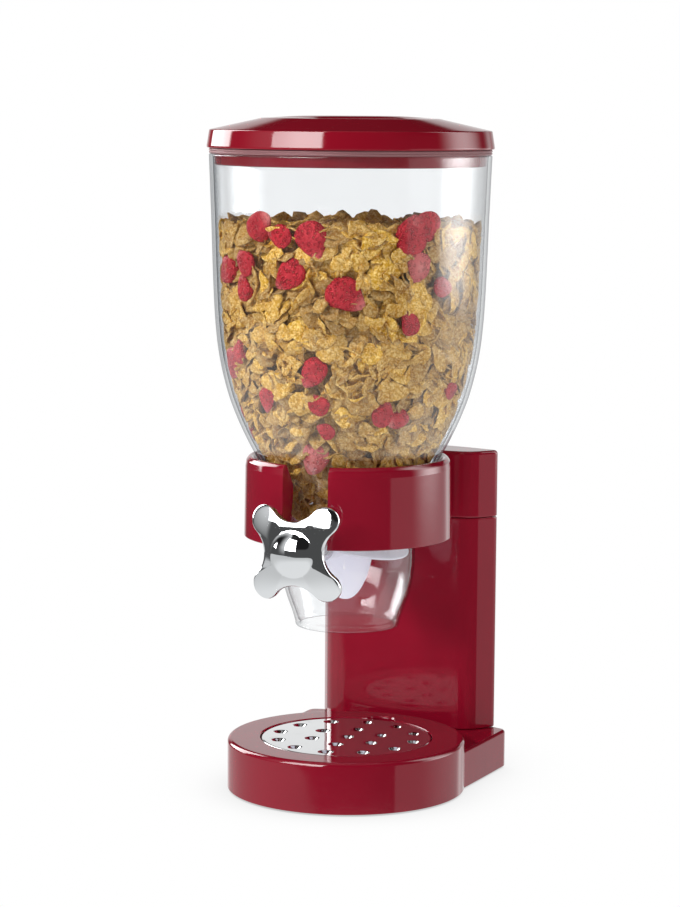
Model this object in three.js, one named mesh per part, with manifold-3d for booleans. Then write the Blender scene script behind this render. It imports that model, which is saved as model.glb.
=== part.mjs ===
// Countertop dry-food dispenser: a clear canister in a red collar on a red column and base,
// a knob-driven soft paddle wheel in the canister's neck, and a lift-out metal tray.
// Millimetres, +Z up. The origin is on the canister's axis at the underside of the base plate.
// The front (knob side) faces -Y.
import * as THREE from "three";
import { mergeVertices } from "three/addons/utils/BufferGeometryUtils.js";
import Module from "manifold-3d";

const wasm = await Module();
wasm.setup();

// ---------------------------------------------------------------- shared dimensions
const SEG = 36; // facets round the large vertical-axis turned pieces
const GAP = 0.3; // clearance between separate pieces

const BASE_R = 70.35; // round front part of the base
const BASE_H = 30.0;
const BLOCK_H = 22.4; // rear block of the base
const BASE_WALL = 2.6;
const POCKET_FLOOR = 24.6; // tray pocket
const PLATE_T = 3.2; // bottom plate

const COLUMN_FRONT_Y = 75.0;
const COLUMN_HALF = 44.0; // half width of the flat front
const COLUMN_WALL = 2.6;
const COLUMN_Z0 = BLOCK_H + GAP;
const DECK_Z = 140.6; // deck that carries the head
const DECK_T = 2.6;
const SEAM_Z = 153.6; // joint between column and head

const SHAFT_Z = 150.0; // height of the wheel's axis
const HEX_R = 4.04; // hexagonal shaft, across corners / 2
const SHAFT_FRONT_Y = -71.3;
const BUSHING_R = 6.0;
const BUSHING_BORE_R = 4.5;
const BOSS_Y = 37.9; // distance from the axis to the inner ends of the shaft bosses

const CANISTER_RIM = 373.2;
const LID_SKIRT = 376.8; // lower edge of the lid's skirt

const SCREW_R = 1.45;
const SCREW_HEAD_R = 3.5;
const SCREW_HEAD_H = 1.8;
const PILOT_R = 1.75; // holes in the screw bosses
const CLEARANCE_R = 1.9; // holes the screws pass through

// places in plan, [x, y]
const FEET = {
  front_left: [-41, -41],
  front_right: [41, -41],
  rear_left: [-54, 82],
  rear_right: [54, 82],
};
const PLATE_SCREWS = {
  front_left: [-38, -30],
  front_right: [38, -30],
  rear_left: [-38, 30],
  rear_right: [38, 30],
};
const COLUMN_SCREWS = { left: [-30, 83], right: [30, 83] };
const HEAD_SCREWS = { left: [-22, 88], right: [22, 88] };

// ---------------------------------------------------------------- materials
const material = (settings) => new THREE.MeshStandardMaterial(settings);
const RED = material({ color: 0x8a1420, roughness: 0.16, metalness: 0 });
const RED_INNER = material({ color: 0x7a1420, roughness: 0.35, metalness: 0 });
const CLEAR = material({
  color: 0xf4f6f8,
  roughness: 0.05,
  metalness: 0,
  transparent: true,
  opacity: 0.25,
});
const SEAL = material({ color: 0xb9b4b6, roughness: 0.45, metalness: 0 });
const SILICONE = material({ color: 0xe6e6ec, roughness: 0.5, metalness: 0 });
const WHITE = material({ color: 0xe2e3e6, roughness: 0.4, metalness: 0 });
const CHROME = material({ color: 0xdfe2e4, roughness: 0.07, metalness: 1 });
const STEEL = material({ color: 0xc4c8cc, roughness: 0.25, metalness: 1 });
const RUBBER = material({ color: 0x2a2a2c, roughness: 0.85, metalness: 0 });

// ---------------------------------------------------------------- geometry to solid and back
// weld the corners, drop collapsed triangles and face the rest outward
function toSolid(geometry) {
  geometry.deleteAttribute("normal");
  geometry.deleteAttribute("uv");
  const welded = mergeVertices(geometry, 1e-4);
  const positions = welded.attributes.position.array;
  const indices = welded.index.array;
  const corner = (i) => new THREE.Vector3().fromArray(positions, 3 * indices[i]);
  let volume = 0; // signed, times six
  for (let i = 0; i < indices.length; i += 3) {
    volume += corner(i).dot(corner(i + 1).cross(corner(i + 2)));
  }
  const triangles = [];
  for (let i = 0; i < indices.length; i += 3) {
    const [first, second, third] = indices.slice(i, i + 3);
    if (first === second || second === third || first === third) continue;
    triangles.push(first, ...(volume < 0 ? [third, second] : [second, third]));
  }
  return new wasm.Manifold(
    new wasm.Mesh({
      numProp: 3,
      vertProperties: new Float32Array(positions),
      triVerts: new Uint32Array(triangles),
    }),
  );
}

function toGeometry(solid) {
  const mesh = solid.getMesh();
  const geometry = new THREE.BufferGeometry();
  const positions = new Float32Array(mesh.vertProperties);
  geometry.setAttribute("position", new THREE.BufferAttribute(positions, 3));
  geometry.setIndex(new THREE.BufferAttribute(new Uint32Array(mesh.triVerts), 1));
  const flat = geometry.toNonIndexed();
  flat.computeVertexNormals();
  return flat;
}

// ---------------------------------------------------------------- shape helpers
const radians = THREE.MathUtils.degToRad;
const vectors = (points) => points.map(([x, y]) => new THREE.Vector2(x, y));
const polar = (radius, angle, [x, y] = [0, 0]) => [
  x + radius * Math.cos(angle),
  y + radius * Math.sin(angle),
];
// repeats the first point, for a turned profile that is a loop off the axis
const closed = (profile) => [...profile, profile[0]];

// turned about +Z; profile is [[r, z], ...]
const turned = (profile, seg = SEG) =>
  new THREE.LatheGeometry(vectors(profile), seg).rotateX(Math.PI / 2);
const lathe = (profile, seg = SEG, [x, y] = [0, 0]) =>
  toSolid(turned(profile, seg).translate(x, y, 0));

// turned about the shaft's axis, along Y; profile is [[r, y], ...]
const latheY = (profile, seg) =>
  toSolid(new THREE.LatheGeometry(vectors(profile), seg).translate(0, 0, SHAFT_Z));

function cylinder(radius, z0, z1, [x, y], seg = 12) {
  const geometry = new THREE.CylinderGeometry(radius, radius, z1 - z0, seg);
  return toSolid(geometry.rotateX(Math.PI / 2).translate(x, y, (z0 + z1) / 2));
}

// cylinder and hexagonal bar on the shaft's axis
function cylinderY(radius, y0, y1, seg = 20, turn = 0) {
  const geometry = new THREE.CylinderGeometry(radius, radius, y1 - y0, seg);
  return toSolid(geometry.rotateY(turn).translate(0, (y0 + y1) / 2, SHAFT_Z));
}
const hexagonY = (radius, y0, y1) => cylinderY(radius, y0, y1, 6, Math.PI / 6);

function box([x0, x1], [y0, y1], [z0, z1]) {
  const geometry = new THREE.BoxGeometry(x1 - x0, y1 - y0, z1 - z0);
  return toSolid(geometry.translate((x0 + x1) / 2, (y0 + y1) / 2, (z0 + z1) / 2));
}

const extruded = (outline, depth) =>
  new THREE.ExtrudeGeometry(new THREE.Shape(vectors(outline)), { depth, bevelEnabled: false });
const prism = (outline, z0, z1) => toSolid(extruded(outline, z1 - z0).translate(0, 0, z0));

// outline symmetric about x = 0 from its right half
const mirrored = (right) => [...right, ...right.map(([x, y]) => [-x, y]).reverse()];

// replaces each edge shorter than the limit by its midpoint
function mergeShortEdges(outline, limit) {
  const points = [...outline];
  for (let i = 0; i < points.length; i++) {
    const j = (i + 1) % points.length;
    const [x0, y0] = points[i];
    const [x1, y1] = points[j];
    if (Math.hypot(x0 - x1, y0 - y1) < limit) {
      points[i] = [(x0 + x1) / 2, (y0 + y1) / 2];
      points.splice(j, 1);
      i--;
    }
  }
  return points;
}

// inward offset of a counter-clockwise outline; a deep offset would fold short edges over
const DEEP_INSET = 2.7;
const SHORT_EDGE = 4.3;
function inset(outline, distance) {
  const points = distance > DEEP_INSET ? mergeShortEdges(outline, SHORT_EDGE) : outline;
  const count = points.length;
  const inwardNormal = ([x0, y0], [x1, y1]) => {
    const length = Math.hypot(x1 - x0, y1 - y0);
    return [-(y1 - y0) / length, (x1 - x0) / length];
  };
  return points.map((point, i) => {
    const before = inwardNormal(points[(i + count - 1) % count], point);
    const after = inwardNormal(point, points[(i + 1) % count]);
    const scale = 1 + before[0] * after[0] + before[1] * after[1];
    return [
      point[0] + (distance * (before[0] + after[0])) / scale,
      point[1] + (distance * (before[1] + after[1])) / scale,
    ];
  });
}

// ---------------------------------------------------------------- outlines
// column and head section, [x, y] counter-clockwise: flat front, rounded front corners,
// flared sides, crowned back
const COLUMN = mirrored([
  [COLUMN_HALF - 8, COLUMN_FRONT_Y],
  [COLUMN_HALF - 3.2, COLUMN_FRONT_Y + 0.5],
  [COLUMN_HALF + 2.2, COLUMN_FRONT_Y + 2.6],
  [COLUMN_HALF + 6.4, COLUMN_FRONT_Y + 6.4],
  [COLUMN_HALF + 9.6, COLUMN_FRONT_Y + 11.2],
  [57.2, 91.6], [57.0, 94.0], [54.6, 95.8], [40.0, 99.7], [21.0, 103.1], [7.0, 104.4],
]);
// rear block of the base, [x, y] counter-clockwise
const BLOCK = mirrored([
  [65.6, 20.0], [66.3, 60.0], [66.6, 88.8], [64.8, 91.6],
  [50.0, 96.9], [30.0, 101.7], [10.0, 104.2],
]);

// ---------------------------------------------------------------- base
const POCKET_R = 51.0;
const POCKET_WALL_R = 53.6; // outside of the wall round the pocket
const POCKET_UNDERSIDE = 22.2;
const NOTCH = { radius: 8.6, y: 50.0, floor: POCKET_FLOOR + 1.2 };

function baseShell() {
  const outer = lathe([
    [0, 0],
    [BASE_R, 0],
    [BASE_R, 27.2],
    [BASE_R - 0.8, 29.2],
    [BASE_R - 2.6, BASE_H],
    [0, BASE_H],
  ]).add(prism(BLOCK, 0, BLOCK_H));
  const hollow = lathe([
    [0, -1],
    [BASE_R - BASE_WALL, -1],
    [BASE_R - BASE_WALL, 26.6],
    [POCKET_WALL_R, 27.4],
    [POCKET_WALL_R, POCKET_UNDERSIDE],
    [0, POCKET_UNDERSIDE],
  ]);
  const blockHollow = prism(inset(BLOCK, BASE_WALL), -1, BLOCK_H - BASE_WALL);
  const pocket = lathe([
    [0, POCKET_FLOOR],
    [POCKET_R, POCKET_FLOOR],
    [POCKET_R, BASE_H + 1],
    [0, BASE_H + 1],
  ]);
  // finger notch at the back of the tray pocket
  const notch = cylinder(NOTCH.radius, NOTCH.floor, BASE_H + 1, [0, NOTCH.y], 16);
  let shell = outer.subtract(hollow).subtract(blockHollow).subtract(pocket).subtract(notch);
  for (const place of Object.values(PLATE_SCREWS)) {
    shell = shell
      .add(cylinder(4.2, PLATE_T + GAP, POCKET_UNDERSIDE + 0.4, place))
      .subtract(cylinder(PILOT_R, PLATE_T, 16, place, 8));
  }
  for (const place of Object.values(COLUMN_SCREWS)) {
    shell = shell.subtract(cylinder(CLEARANCE_R, BLOCK_H - 4, BLOCK_H + 1, place, 8));
  }
  return shell;
}

function basePlate() {
  const radius = BASE_R - BASE_WALL - GAP;
  let plate = lathe([[0, 0], [radius, 0], [radius, PLATE_T], [0, PLATE_T]])
    .add(prism(inset(BLOCK, BASE_WALL + GAP), 0, PLATE_T));
  // counterbored screw holes
  for (const place of Object.values(PLATE_SCREWS)) {
    plate = plate
      .subtract(cylinder(4.0, -1, 2.1, place))
      .subtract(cylinder(1.8, -1, 5, place, 8));
  }
  // recesses for the feet
  for (const place of Object.values(FEET)) {
    plate = plate.subtract(cylinder(6.3, -1, 1.2, place));
  }
  // openings under the column screws, so that they can be driven with the plate on
  for (const place of Object.values(COLUMN_SCREWS)) {
    plate = plate.subtract(cylinder(5.2, -1, 5, place));
  }
  return plate;
}

const FOOT_DROP = 1.0; // how far the feet stand below the plate
const FOOT_R = 6.0;
const FOOT_TOP = 0.9;
function foot(place) {
  const profile = [
    [0, -FOOT_DROP],
    [FOOT_R - 0.6, -FOOT_DROP],
    [FOOT_R, -FOOT_DROP + 0.6],
    [FOOT_R, FOOT_TOP],
    [0, FOOT_TOP],
  ];
  return lathe(profile, 12, place);
}

// pan-head screw pointing up: head below seatZ, shank above; slot across the head
function screw(place, seatZ, length) {
  const [x, y] = place;
  const headZ = seatZ - SCREW_HEAD_H;
  const profile = [
    [0, headZ],
    [SCREW_HEAD_R - 0.8, headZ],
    [SCREW_HEAD_R, headZ + 0.8],
    [SCREW_HEAD_R, seatZ],
    [SCREW_R, seatZ],
    [SCREW_R, seatZ + length - 1.5],
    [0, seatZ + length],
  ];
  const slot = box([x - 2.2, x + 2.2], [y - 0.45, y + 0.45], [headZ - 1, headZ + 0.9]);
  return lathe(profile, 8, place).subtract(slot);
}

// ---------------------------------------------------------------- column
const COLUMN_BOSS_TOP = 48;
function columnHousing() {
  const hollow = prism(inset(COLUMN, COLUMN_WALL), COLUMN_Z0 - 1, SEAM_Z + 1);
  // the deck runs 0.1 into the wall
  const deck = prism(inset(COLUMN, COLUMN_WALL - 0.1), DECK_Z, DECK_Z + DECK_T);
  let housing = prism(COLUMN, COLUMN_Z0, SEAM_Z - GAP).subtract(hollow).add(deck);
  // screw bosses, each with a rib to the front wall
  for (const place of Object.values(COLUMN_SCREWS)) {
    const [x] = place;
    const rib = box([x - 1.2, x + 1.2], [76.5, 80], [COLUMN_Z0, COLUMN_BOSS_TOP]);
    housing = housing
      .add(cylinder(4.6, COLUMN_Z0, COLUMN_BOSS_TOP, place).add(rib))
      .subtract(cylinder(PILOT_R, COLUMN_Z0 - 1, 40, place, 8));
  }
  for (const place of Object.values(HEAD_SCREWS)) {
    housing = housing.subtract(cylinder(CLEARANCE_R, DECK_Z - 1, DECK_Z + 4, place, 8));
  }
  return housing;
}

// ---------------------------------------------------------------- head
const HEAD_TOP = 194.0;
const HEAD_WALL = 3.4;
const HEAD_ROOF = 2.8;
const BRIDGE_HALF = 30;
const BRIDGE_WALL = 2.6;
const COLLAR_R = 60.9;
const COLLAR_INNER_R = 58.2; // inside of the skirt at its lower edge
const COLLAR_Z0 = 150.8;
const COLLAR_TOP = 198.0;
const SLOT_HALF = 14.2; // front slot in the collar
const CHEEK_T = 2.6;

// [r, z] up the skirt and over the rolled rim
const COLLAR_OUTER = [
  [COLLAR_R, COLLAR_Z0], [60.3, 192.0], [59.7, 195.8], [58.2, 197.6],
  [56.9, COLLAR_TOP], [55.6, 197.5],
];
// [r, z] down the conical seat, round its lower edge and up inside the double wall
const COLLAR_INNER = [
  [54.7, 196.2], [51.4, 192.0], [47.1, 184.8], [47.1, 178.0],
  [49.6, 178.0], [49.6, 184.6], [57.6, 194.0],
];
// [r, z] section of the cheeks at the sides of the slot
const CHEEK = [
  [47.2, 178.1], [47.2, 184.8], [51.4, 191.9], [55.6, 197.0], [59.8, 193.5],
  [60.6, COLLAR_Z0], [52.6, COLLAR_Z0], [50.2, 166.0], [47.2, 172.0],
];

// rear housing and bridge, hollow and open below, with a spigot that drops into the column
function headBody() {
  const hollow = prism(inset(COLUMN, HEAD_WALL), SEAM_Z - 1, HEAD_TOP - HEAD_ROOF);
  const spigot = prism(inset(COLUMN, COLUMN_WALL + GAP), 146, 160)
    .subtract(prism(inset(COLUMN, 5.0), 145, 161));
  let body = prism(COLUMN, SEAM_Z, HEAD_TOP).subtract(hollow).add(spigot);
  for (const place of Object.values(HEAD_SCREWS)) {
    body = body.add(cylinder(4.4, DECK_Z + DECK_T + GAP, HEAD_TOP - 2, place));
  }
  const innerHalf = BRIDGE_HALF - BRIDGE_WALL;
  return body
    .add(box([-BRIDGE_HALF, BRIDGE_HALF], [40, 76], [SEAM_Z, HEAD_TOP]))
    .subtract(box([-innerHalf, innerHalf], [41, 74.5], [SEAM_Z - 1, HEAD_TOP - HEAD_ROOF]));
}

// upper housing and C-shaped double-walled collar, one moulding
function headHousing() {
  // space inside the collar and its double wall, cleared of the bridge
  const keepOut = lathe([
    [0, COLLAR_Z0 - 2],
    [COLLAR_INNER_R, COLLAR_Z0 - 2],
    ...[...COLLAR_INNER].reverse(),
    [55.6, 205],
    [0, 205],
  ]);
  const collar = lathe(closed([...COLLAR_OUTER, ...COLLAR_INNER, [COLLAR_INNER_R, COLLAR_Z0]]));
  let head = headBody().subtract(keepOut).add(collar);
  const frontSlab = (x0, x1) => box([x0, x1], [-70, -20], [140, 210]);
  const cheekRing = lathe(closed(CHEEK));
  for (const x of [-SLOT_HALF - CHEEK_T, SLOT_HALF]) {
    head = head.add(cheekRing.intersect(frontSlab(x, x + CHEEK_T)));
  }
  head = head.subtract(frontSlab(-SLOT_HALF, SLOT_HALF));
  for (const place of Object.values(HEAD_SCREWS)) {
    head = head.subtract(cylinder(PILOT_R, DECK_Z + 2, DECK_Z + 19, place, 8));
  }
  return head;
}

// ---------------------------------------------------------------- drip tray
const TRAY_R = 50.4;
const TRAY_TOP = 29.7;
const TRAY_T = 0.9;
const TRAY_HOLE_R = 2.3;
// rings of holes: how many, ring radius, direction of the first in degrees
const TRAY_HOLES = [
  { count: 1, radius: 0, phase: 0 },
  { count: 6, radius: 20.7, phase: 37 },
  { count: 12, radius: 41, phase: 37.6 },
];
function dripTray() {
  const bottom = POCKET_FLOOR + GAP;
  let tray = lathe([
    [0, TRAY_TOP - TRAY_T],
    [TRAY_R - TRAY_T, TRAY_TOP - TRAY_T],
    [TRAY_R - TRAY_T, bottom],
    [TRAY_R, bottom],
    [TRAY_R, TRAY_TOP - 0.7],
    [TRAY_R - 0.8, TRAY_TOP],
    [0, TRAY_TOP],
  ]);
  for (const { count, radius, phase } of TRAY_HOLES) {
    for (let i = 0; i < count; i++) {
      const place = polar(radius, radians(phase + (360 / count) * i));
      tray = tray.subtract(cylinder(TRAY_HOLE_R, TRAY_TOP - 3, TRAY_TOP + 1, place, 8));
    }
  }
  return tray;
}

// ---------------------------------------------------------------- canister
const NECK_R = 39.5;
const NECK_WALL = 1.8;
const NECK_TOP = 165; // the wall is NECK_WALL thick below this
const CANISTER_WALL = 2.2;
// outer face, [r, z] from the spout up
const CANISTER = [
  [30.0, 97.7], [30.3, 98.8], [32.2, 106.0], [35.6, 114.5], [38.1, 124.0],
  [39.5, 134.0], [NECK_R, 160.0], [39.9, 168.0], [41.2, 174.0], [43.4, 180.0],
  [46.6, 185.6], [50.2, 191.4], [54.2, 198.0], [59.0, 207.0], [64.5, 218.7],
  [69.2, 230.5], [72.6, 242.2], [75.2, 253.9], [77.2, 267.0], [78.7, 287.0],
  [79.7, 312.0], [80.9, 347.0], [81.9, CANISTER_RIM],
];
function canister() {
  // the inner face leaves out the second station and every other one of the funnel and bowl
  const inner = CANISTER
    .filter((_, i) => i !== 1 && !(i > 9 && i < 22 && i % 2 === 0))
    .map(([r, z]) => [r - (z < NECK_TOP ? NECK_WALL : CANISTER_WALL), z]);
  const wall = lathe(closed([...CANISTER, ...inner.reverse()]));
  // bosses for the shaft: an open tube at the front, a blind cup at the back
  const bosses = cylinderY(9.4, -63.2, -BOSS_Y).add(cylinderY(8.6, BOSS_Y, 45.6));
  const neckR = NECK_R - NECK_WALL;
  const neckInside = lathe([[0, 130], [neckR, 130], [neckR, 172], [0, 172]]);
  return wall
    .add(bosses.subtract(neckInside))
    .subtract(cylinderY(BUSHING_R + GAP, -70, -30))
    .subtract(cylinderY(BUSHING_R + GAP, 30, 43.8));
}

// flanged at its front end
function frontBushing() {
  const profile = [
    [BUSHING_BORE_R, -65.4],
    [8.4, -65.4],
    [8.4, -63.5],
    [BUSHING_R, -63.5],
    [BUSHING_R, -38.6],
    [BUSHING_BORE_R, -38.6],
  ];
  return latheY(closed(profile), 14);
}
function rearBushing() {
  const profile = [
    [BUSHING_BORE_R, BOSS_Y],
    [BUSHING_R, BOSS_Y],
    [BUSHING_R, 43.4],
    [BUSHING_BORE_R, 43.4],
  ];
  return latheY(closed(profile), 14);
}

// ---------------------------------------------------------------- paddle wheel
const WHEEL_R = 37.2;
const CORE_R = 6.8;
const HUB_R = 9.8;
const HUB_HALF = 33.5; // half length
const BLADES = 5;
const BLADE_T = 2.0;
const BLADE_PHASE = -88.5; // degrees, the blade that hangs down

const wheelCore = () => cylinderY(CORE_R, -35.6, 35.6, 18).subtract(hexagonY(HEX_R + 0.42, -40, 40));

function paddleWheel() {
  // half disc with its straight edge on the axis: x outward, y along the axis
  const halfDisc = [];
  for (let i = 0; i <= 14; i++) halfDisc.push(polar(WHEEL_R, -Math.PI / 2 + (Math.PI * i) / 14));
  let wheel = cylinderY(HUB_R, -HUB_HALF, HUB_HALF);
  for (let i = 0; i < BLADES; i++) {
    const blade = extruded(halfDisc, BLADE_T)
      .translate(0, 0, -BLADE_T / 2)
      .rotateY(-radians(BLADE_PHASE + (360 / BLADES) * i))
      .translate(0, 0, SHAFT_Z);
    wheel = wheel.add(toSolid(blade));
  }
  return wheel.subtract(cylinderY(CORE_R + GAP, -45, 45, 18));
}

// ---------------------------------------------------------------- shaft and knob
const KNOB_Y = -73.6; // front of the lobes' rim
const KNOB_LOBE_AT = 26.6; // lobe centres from the axis
const KNOB_LOBE_R = 8.3;
const KNOB_VALLEY = 18.4; // nearest point of the hollow flanks to the axis
const KNOB_TURN = 46.5; // degrees, direction of the first lobe

const driveShaft = () =>
  hexagonY(HEX_R, SHAFT_FRONT_Y, 43.0).subtract(cylinderY(1.4, -72, -62, 8));

// four round lobes joined by hollow flanks tangent to them
function knobOutline() {
  const lobeSpacing = KNOB_LOBE_AT * Math.SQRT2;
  const flankR =
    (KNOB_LOBE_AT ** 2 + KNOB_VALLEY ** 2 - lobeSpacing * KNOB_VALLEY - KNOB_LOBE_R ** 2) /
    (2 * KNOB_LOBE_R - 2 * KNOB_VALLEY + lobeSpacing);
  const wrap = (angle) => Math.atan2(Math.sin(angle), Math.cos(angle));
  const points = [];
  for (let k = 0; k < 4; k++) {
    const lobeAngle = (k * Math.PI) / 2;
    const flankAngle = lobeAngle + Math.PI / 4;
    const lobe = polar(KNOB_LOBE_AT, lobeAngle);
    const flank = polar(KNOB_VALLEY + flankR, flankAngle);
    const tangent = Math.atan2(flank[1] - lobe[1], flank[0] - lobe[0]);
    const lobeSpread = wrap(tangent - lobeAngle);
    for (let i = 0; i <= 9; i++) {
      const angle = lobeAngle - lobeSpread + (2 * lobeSpread * i) / 9;
      points.push(polar(KNOB_LOBE_R, angle, lobe));
    }
    const flankSpread = wrap(tangent - flankAngle);
    for (let i = 1; i < 6; i++) {
      const angle = flankAngle + Math.PI + flankSpread - (2 * flankSpread * i) / 6;
      points.push(polar(flankR, angle, flank));
    }
  }
  return points;
}

// slab of the knob's outline, grown radially, from y back by depth
function knobSlab(grow, depth, y) {
  const outline = knobOutline().map(([px, py]) => {
    const length = Math.hypot(px, py);
    const scale = (length + grow) / length;
    return [px * scale, py * scale];
  });
  const slab = extruded(outline, depth).rotateZ(radians(KNOB_TURN)).rotateX(Math.PI / 2);
  return toSolid(slab.translate(0, y + depth, SHAFT_Z));
}

function knobShell() {
  // domed centre, [r, y]
  const dome = latheY([
    [0, -81.4], [4.5, -80.9], [8.5, -79.4], [11.6, -77.2], [14.0, -76.2],
    [17.6, -75.3], [18.0, -74.6], [18.0, -73.0], [0, -73.0],
  ], 20);
  return knobSlab(0, 3.8, KNOB_Y)
    .add(dome)
    .subtract(knobSlab(-3.0, 4.0, KNOB_Y + 2.0)) // hollow behind the face
    .subtract(cylinderY(9.6, -74.5, -60, 16)); // room for the insert
}

// insert that carries the shaft's socket
function knobInsert() {
  return latheY([[0, -74.2], [9.2, -74.2], [9.2, -69.0], [8.2, -65.7], [0, -65.7]], 16)
    .subtract(hexagonY(HEX_R + 0.4, SHAFT_FRONT_Y - GAP, -60))
    .subtract(cylinderY(1.6, -75, -70, 8))
    .subtract(cylinderY(3.4, -75, -72.6, 12));
}

const knobScrew = () =>
  latheY([
    [0, -74.1], [2.2, -74.1], [3.0, -73.5], [3.0, -72.9],
    [1.05, -72.9], [1.05, -65.0], [0, -64.0],
  ], 10);

// ---------------------------------------------------------------- lid
const LID_R = 83.2;
const LID_CREASE = 387.3;
const GRIP_FROM_Z = 391.5; // only the cover's points above this are shaped by the grip
const GRIP_TURN = radians(45.4); // direction of the grip ridge
const RIDGE = { height: 1.2, width: 9, reach: 50 };
const SCOOP = { depth: 3.0, offset: 24, width: 11, reach: 30 };

// cover section, [r, z] from the axis over the top, down the skirt and back underneath
const LID_COVER = [
  [0, 394.3], [8.0, 394.3], [16.0, 394.3], [24.0, 394.3], [32.0, 394.25],
  [40.0, 394.2], [46.0, 394.15], [51.5, 394.0], [57.0, 392.85], [64.0, 391.4],
  [72.0, 389.7], [LID_R - 2.3, LID_CREASE + 0.5], [LID_R - 1.5, LID_CREASE],
  [LID_R, 378.0], [LID_R, LID_SKIRT],
  [80.8, LID_SKIRT], [80.6, 383.4], [79.2, 385.2], [62.0, 388.6], [0, 389.0],
];

// height added to the lid's top by the grip ridge and the finger scoops each side of it
function gripHeight(x, y) {
  const along = x * Math.cos(GRIP_TURN) + y * Math.sin(GRIP_TURN);
  const across = -x * Math.sin(GRIP_TURN) + y * Math.cos(GRIP_TURN);
  const ridgeEnds = Math.max(0, 1 - (Math.abs(along) / RIDGE.reach) ** 4);
  const ridge = RIDGE.height * Math.exp(-((across / RIDGE.width) ** 2)) * ridgeEnds;
  const scoopSide = Math.exp(-(((Math.abs(across) - SCOOP.offset) / SCOOP.width) ** 2));
  const scoopEnds = Math.exp(-((along / SCOOP.reach) ** 4));
  return ridge - SCOOP.depth * scoopSide * scoopEnds;
}

function lidCover() {
  const cover = turned(LID_COVER);
  const position = cover.attributes.position;
  for (let i = 0; i < position.count; i++) {
    const z = position.getZ(i);
    if (z > GRIP_FROM_Z) position.setZ(i, z + gripHeight(position.getX(i), position.getY(i)));
  }
  return toSolid(cover);
}

const lidLiner = () =>
  lathe([
    [0, 378.6], [75.9, 378.6], [75.9, 366.9], [78.5, 366.9],
    [78.6, 378.4], [79.8, 379.0], [79.8, 380.8], [0, 380.8],
  ]);

const lidSeal = () =>
  lathe(closed([
    [79.0, CANISTER_RIM + GAP], [81.4, CANISTER_RIM + GAP], [82.1, 374.2],
    [82.1, 376.0], [81.6, LID_SKIRT - GAP], [79.0, LID_SKIRT - GAP],
  ]));

// ---------------------------------------------------------------- assembly
const group = new THREE.Group();
const stand = new THREE.Group();
const canisterGroup = new THREE.Group();
const lidGroup = new THREE.Group();
const driveGroup = new THREE.Group();
group.add(stand, canisterGroup, lidGroup, driveGroup);

function piece(parent, name, solid, finish) {
  const mesh = new THREE.Mesh(toGeometry(solid), finish);
  mesh.name = name;
  parent.add(mesh);
}
function screws(prefix, places, seatZ, length) {
  for (const [side, place] of Object.entries(places)) {
    piece(stand, `${prefix}_${side}`, screw(place, seatZ, length), STEEL);
  }
}

piece(stand, "base_shell", baseShell(), RED);
piece(stand, "base_plate", basePlate(), RED_INNER);
for (const [side, place] of Object.entries(FEET)) {
  piece(stand, `foot_${side}`, foot(place), RUBBER);
}
screws("plate_screw", PLATE_SCREWS, 1.9, 12);
screws("column_screw", COLUMN_SCREWS, BLOCK_H - BASE_WALL - GAP, 15);
piece(stand, "column_housing", columnHousing(), RED);
screws("head_screw", HEAD_SCREWS, DECK_Z - GAP, 14);
piece(stand, "head_housing", headHousing(), RED);

piece(group, "drip_tray", dripTray(), STEEL);

piece(canisterGroup, "canister", canister(), CLEAR);
piece(canisterGroup, "front_bushing", frontBushing(), WHITE);
piece(canisterGroup, "rear_bushing", rearBushing(), WHITE);

piece(driveGroup, "wheel_core", wheelCore(), WHITE);
piece(driveGroup, "paddle_wheel", paddleWheel(), SILICONE);
piece(driveGroup, "drive_shaft", driveShaft(), STEEL);
piece(driveGroup, "knob_shell", knobShell(), CHROME);
piece(driveGroup, "knob_insert", knobInsert(), WHITE);
piece(driveGroup, "knob_screw", knobScrew(), STEEL);

piece(lidGroup, "lid_cover", lidCover(), RED);
piece(lidGroup, "lid_liner", lidLiner(), RED_INNER);
piece(lidGroup, "lid_seal", lidSeal(), SEAL);

export default group;
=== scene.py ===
"""Cereal dispenser: a red stand carries a clear, lidded canister over a drip tray.

Lengths are millimetres, turned into metres when a mesh is made. Z is up, the front faces -Y and
the canister stands on the Z axis. The paddle wheel's shaft lies along Y, its knob at the front;
the column stands at the rear (+Y).
"""
import bpy, bmesh, math
import numpy as np
from math import pi
from mathutils import Vector, Matrix


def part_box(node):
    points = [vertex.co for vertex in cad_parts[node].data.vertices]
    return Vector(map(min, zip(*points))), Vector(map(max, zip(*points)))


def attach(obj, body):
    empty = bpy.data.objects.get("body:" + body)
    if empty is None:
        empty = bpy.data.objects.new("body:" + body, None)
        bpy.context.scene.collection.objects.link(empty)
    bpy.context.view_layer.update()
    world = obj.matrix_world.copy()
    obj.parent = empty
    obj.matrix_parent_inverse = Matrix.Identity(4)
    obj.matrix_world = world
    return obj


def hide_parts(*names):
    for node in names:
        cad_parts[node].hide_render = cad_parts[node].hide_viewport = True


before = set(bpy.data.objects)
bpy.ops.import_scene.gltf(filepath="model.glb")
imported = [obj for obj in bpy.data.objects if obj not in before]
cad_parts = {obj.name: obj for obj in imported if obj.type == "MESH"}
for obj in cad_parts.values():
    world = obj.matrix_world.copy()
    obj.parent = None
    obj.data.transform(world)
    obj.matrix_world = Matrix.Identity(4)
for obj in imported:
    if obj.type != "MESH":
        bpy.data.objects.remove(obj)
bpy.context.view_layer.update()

MM = 0.001
WELD = 0.001        # vertices closer than this are merged
RNG = np.random.default_rng(20260)


def box_mm(node):
    low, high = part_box(node)
    return np.array(low) / MM, np.array(high) / MM


def z_span(node):
    low, high = box_mm(node)
    return low[2], high[2]


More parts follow.
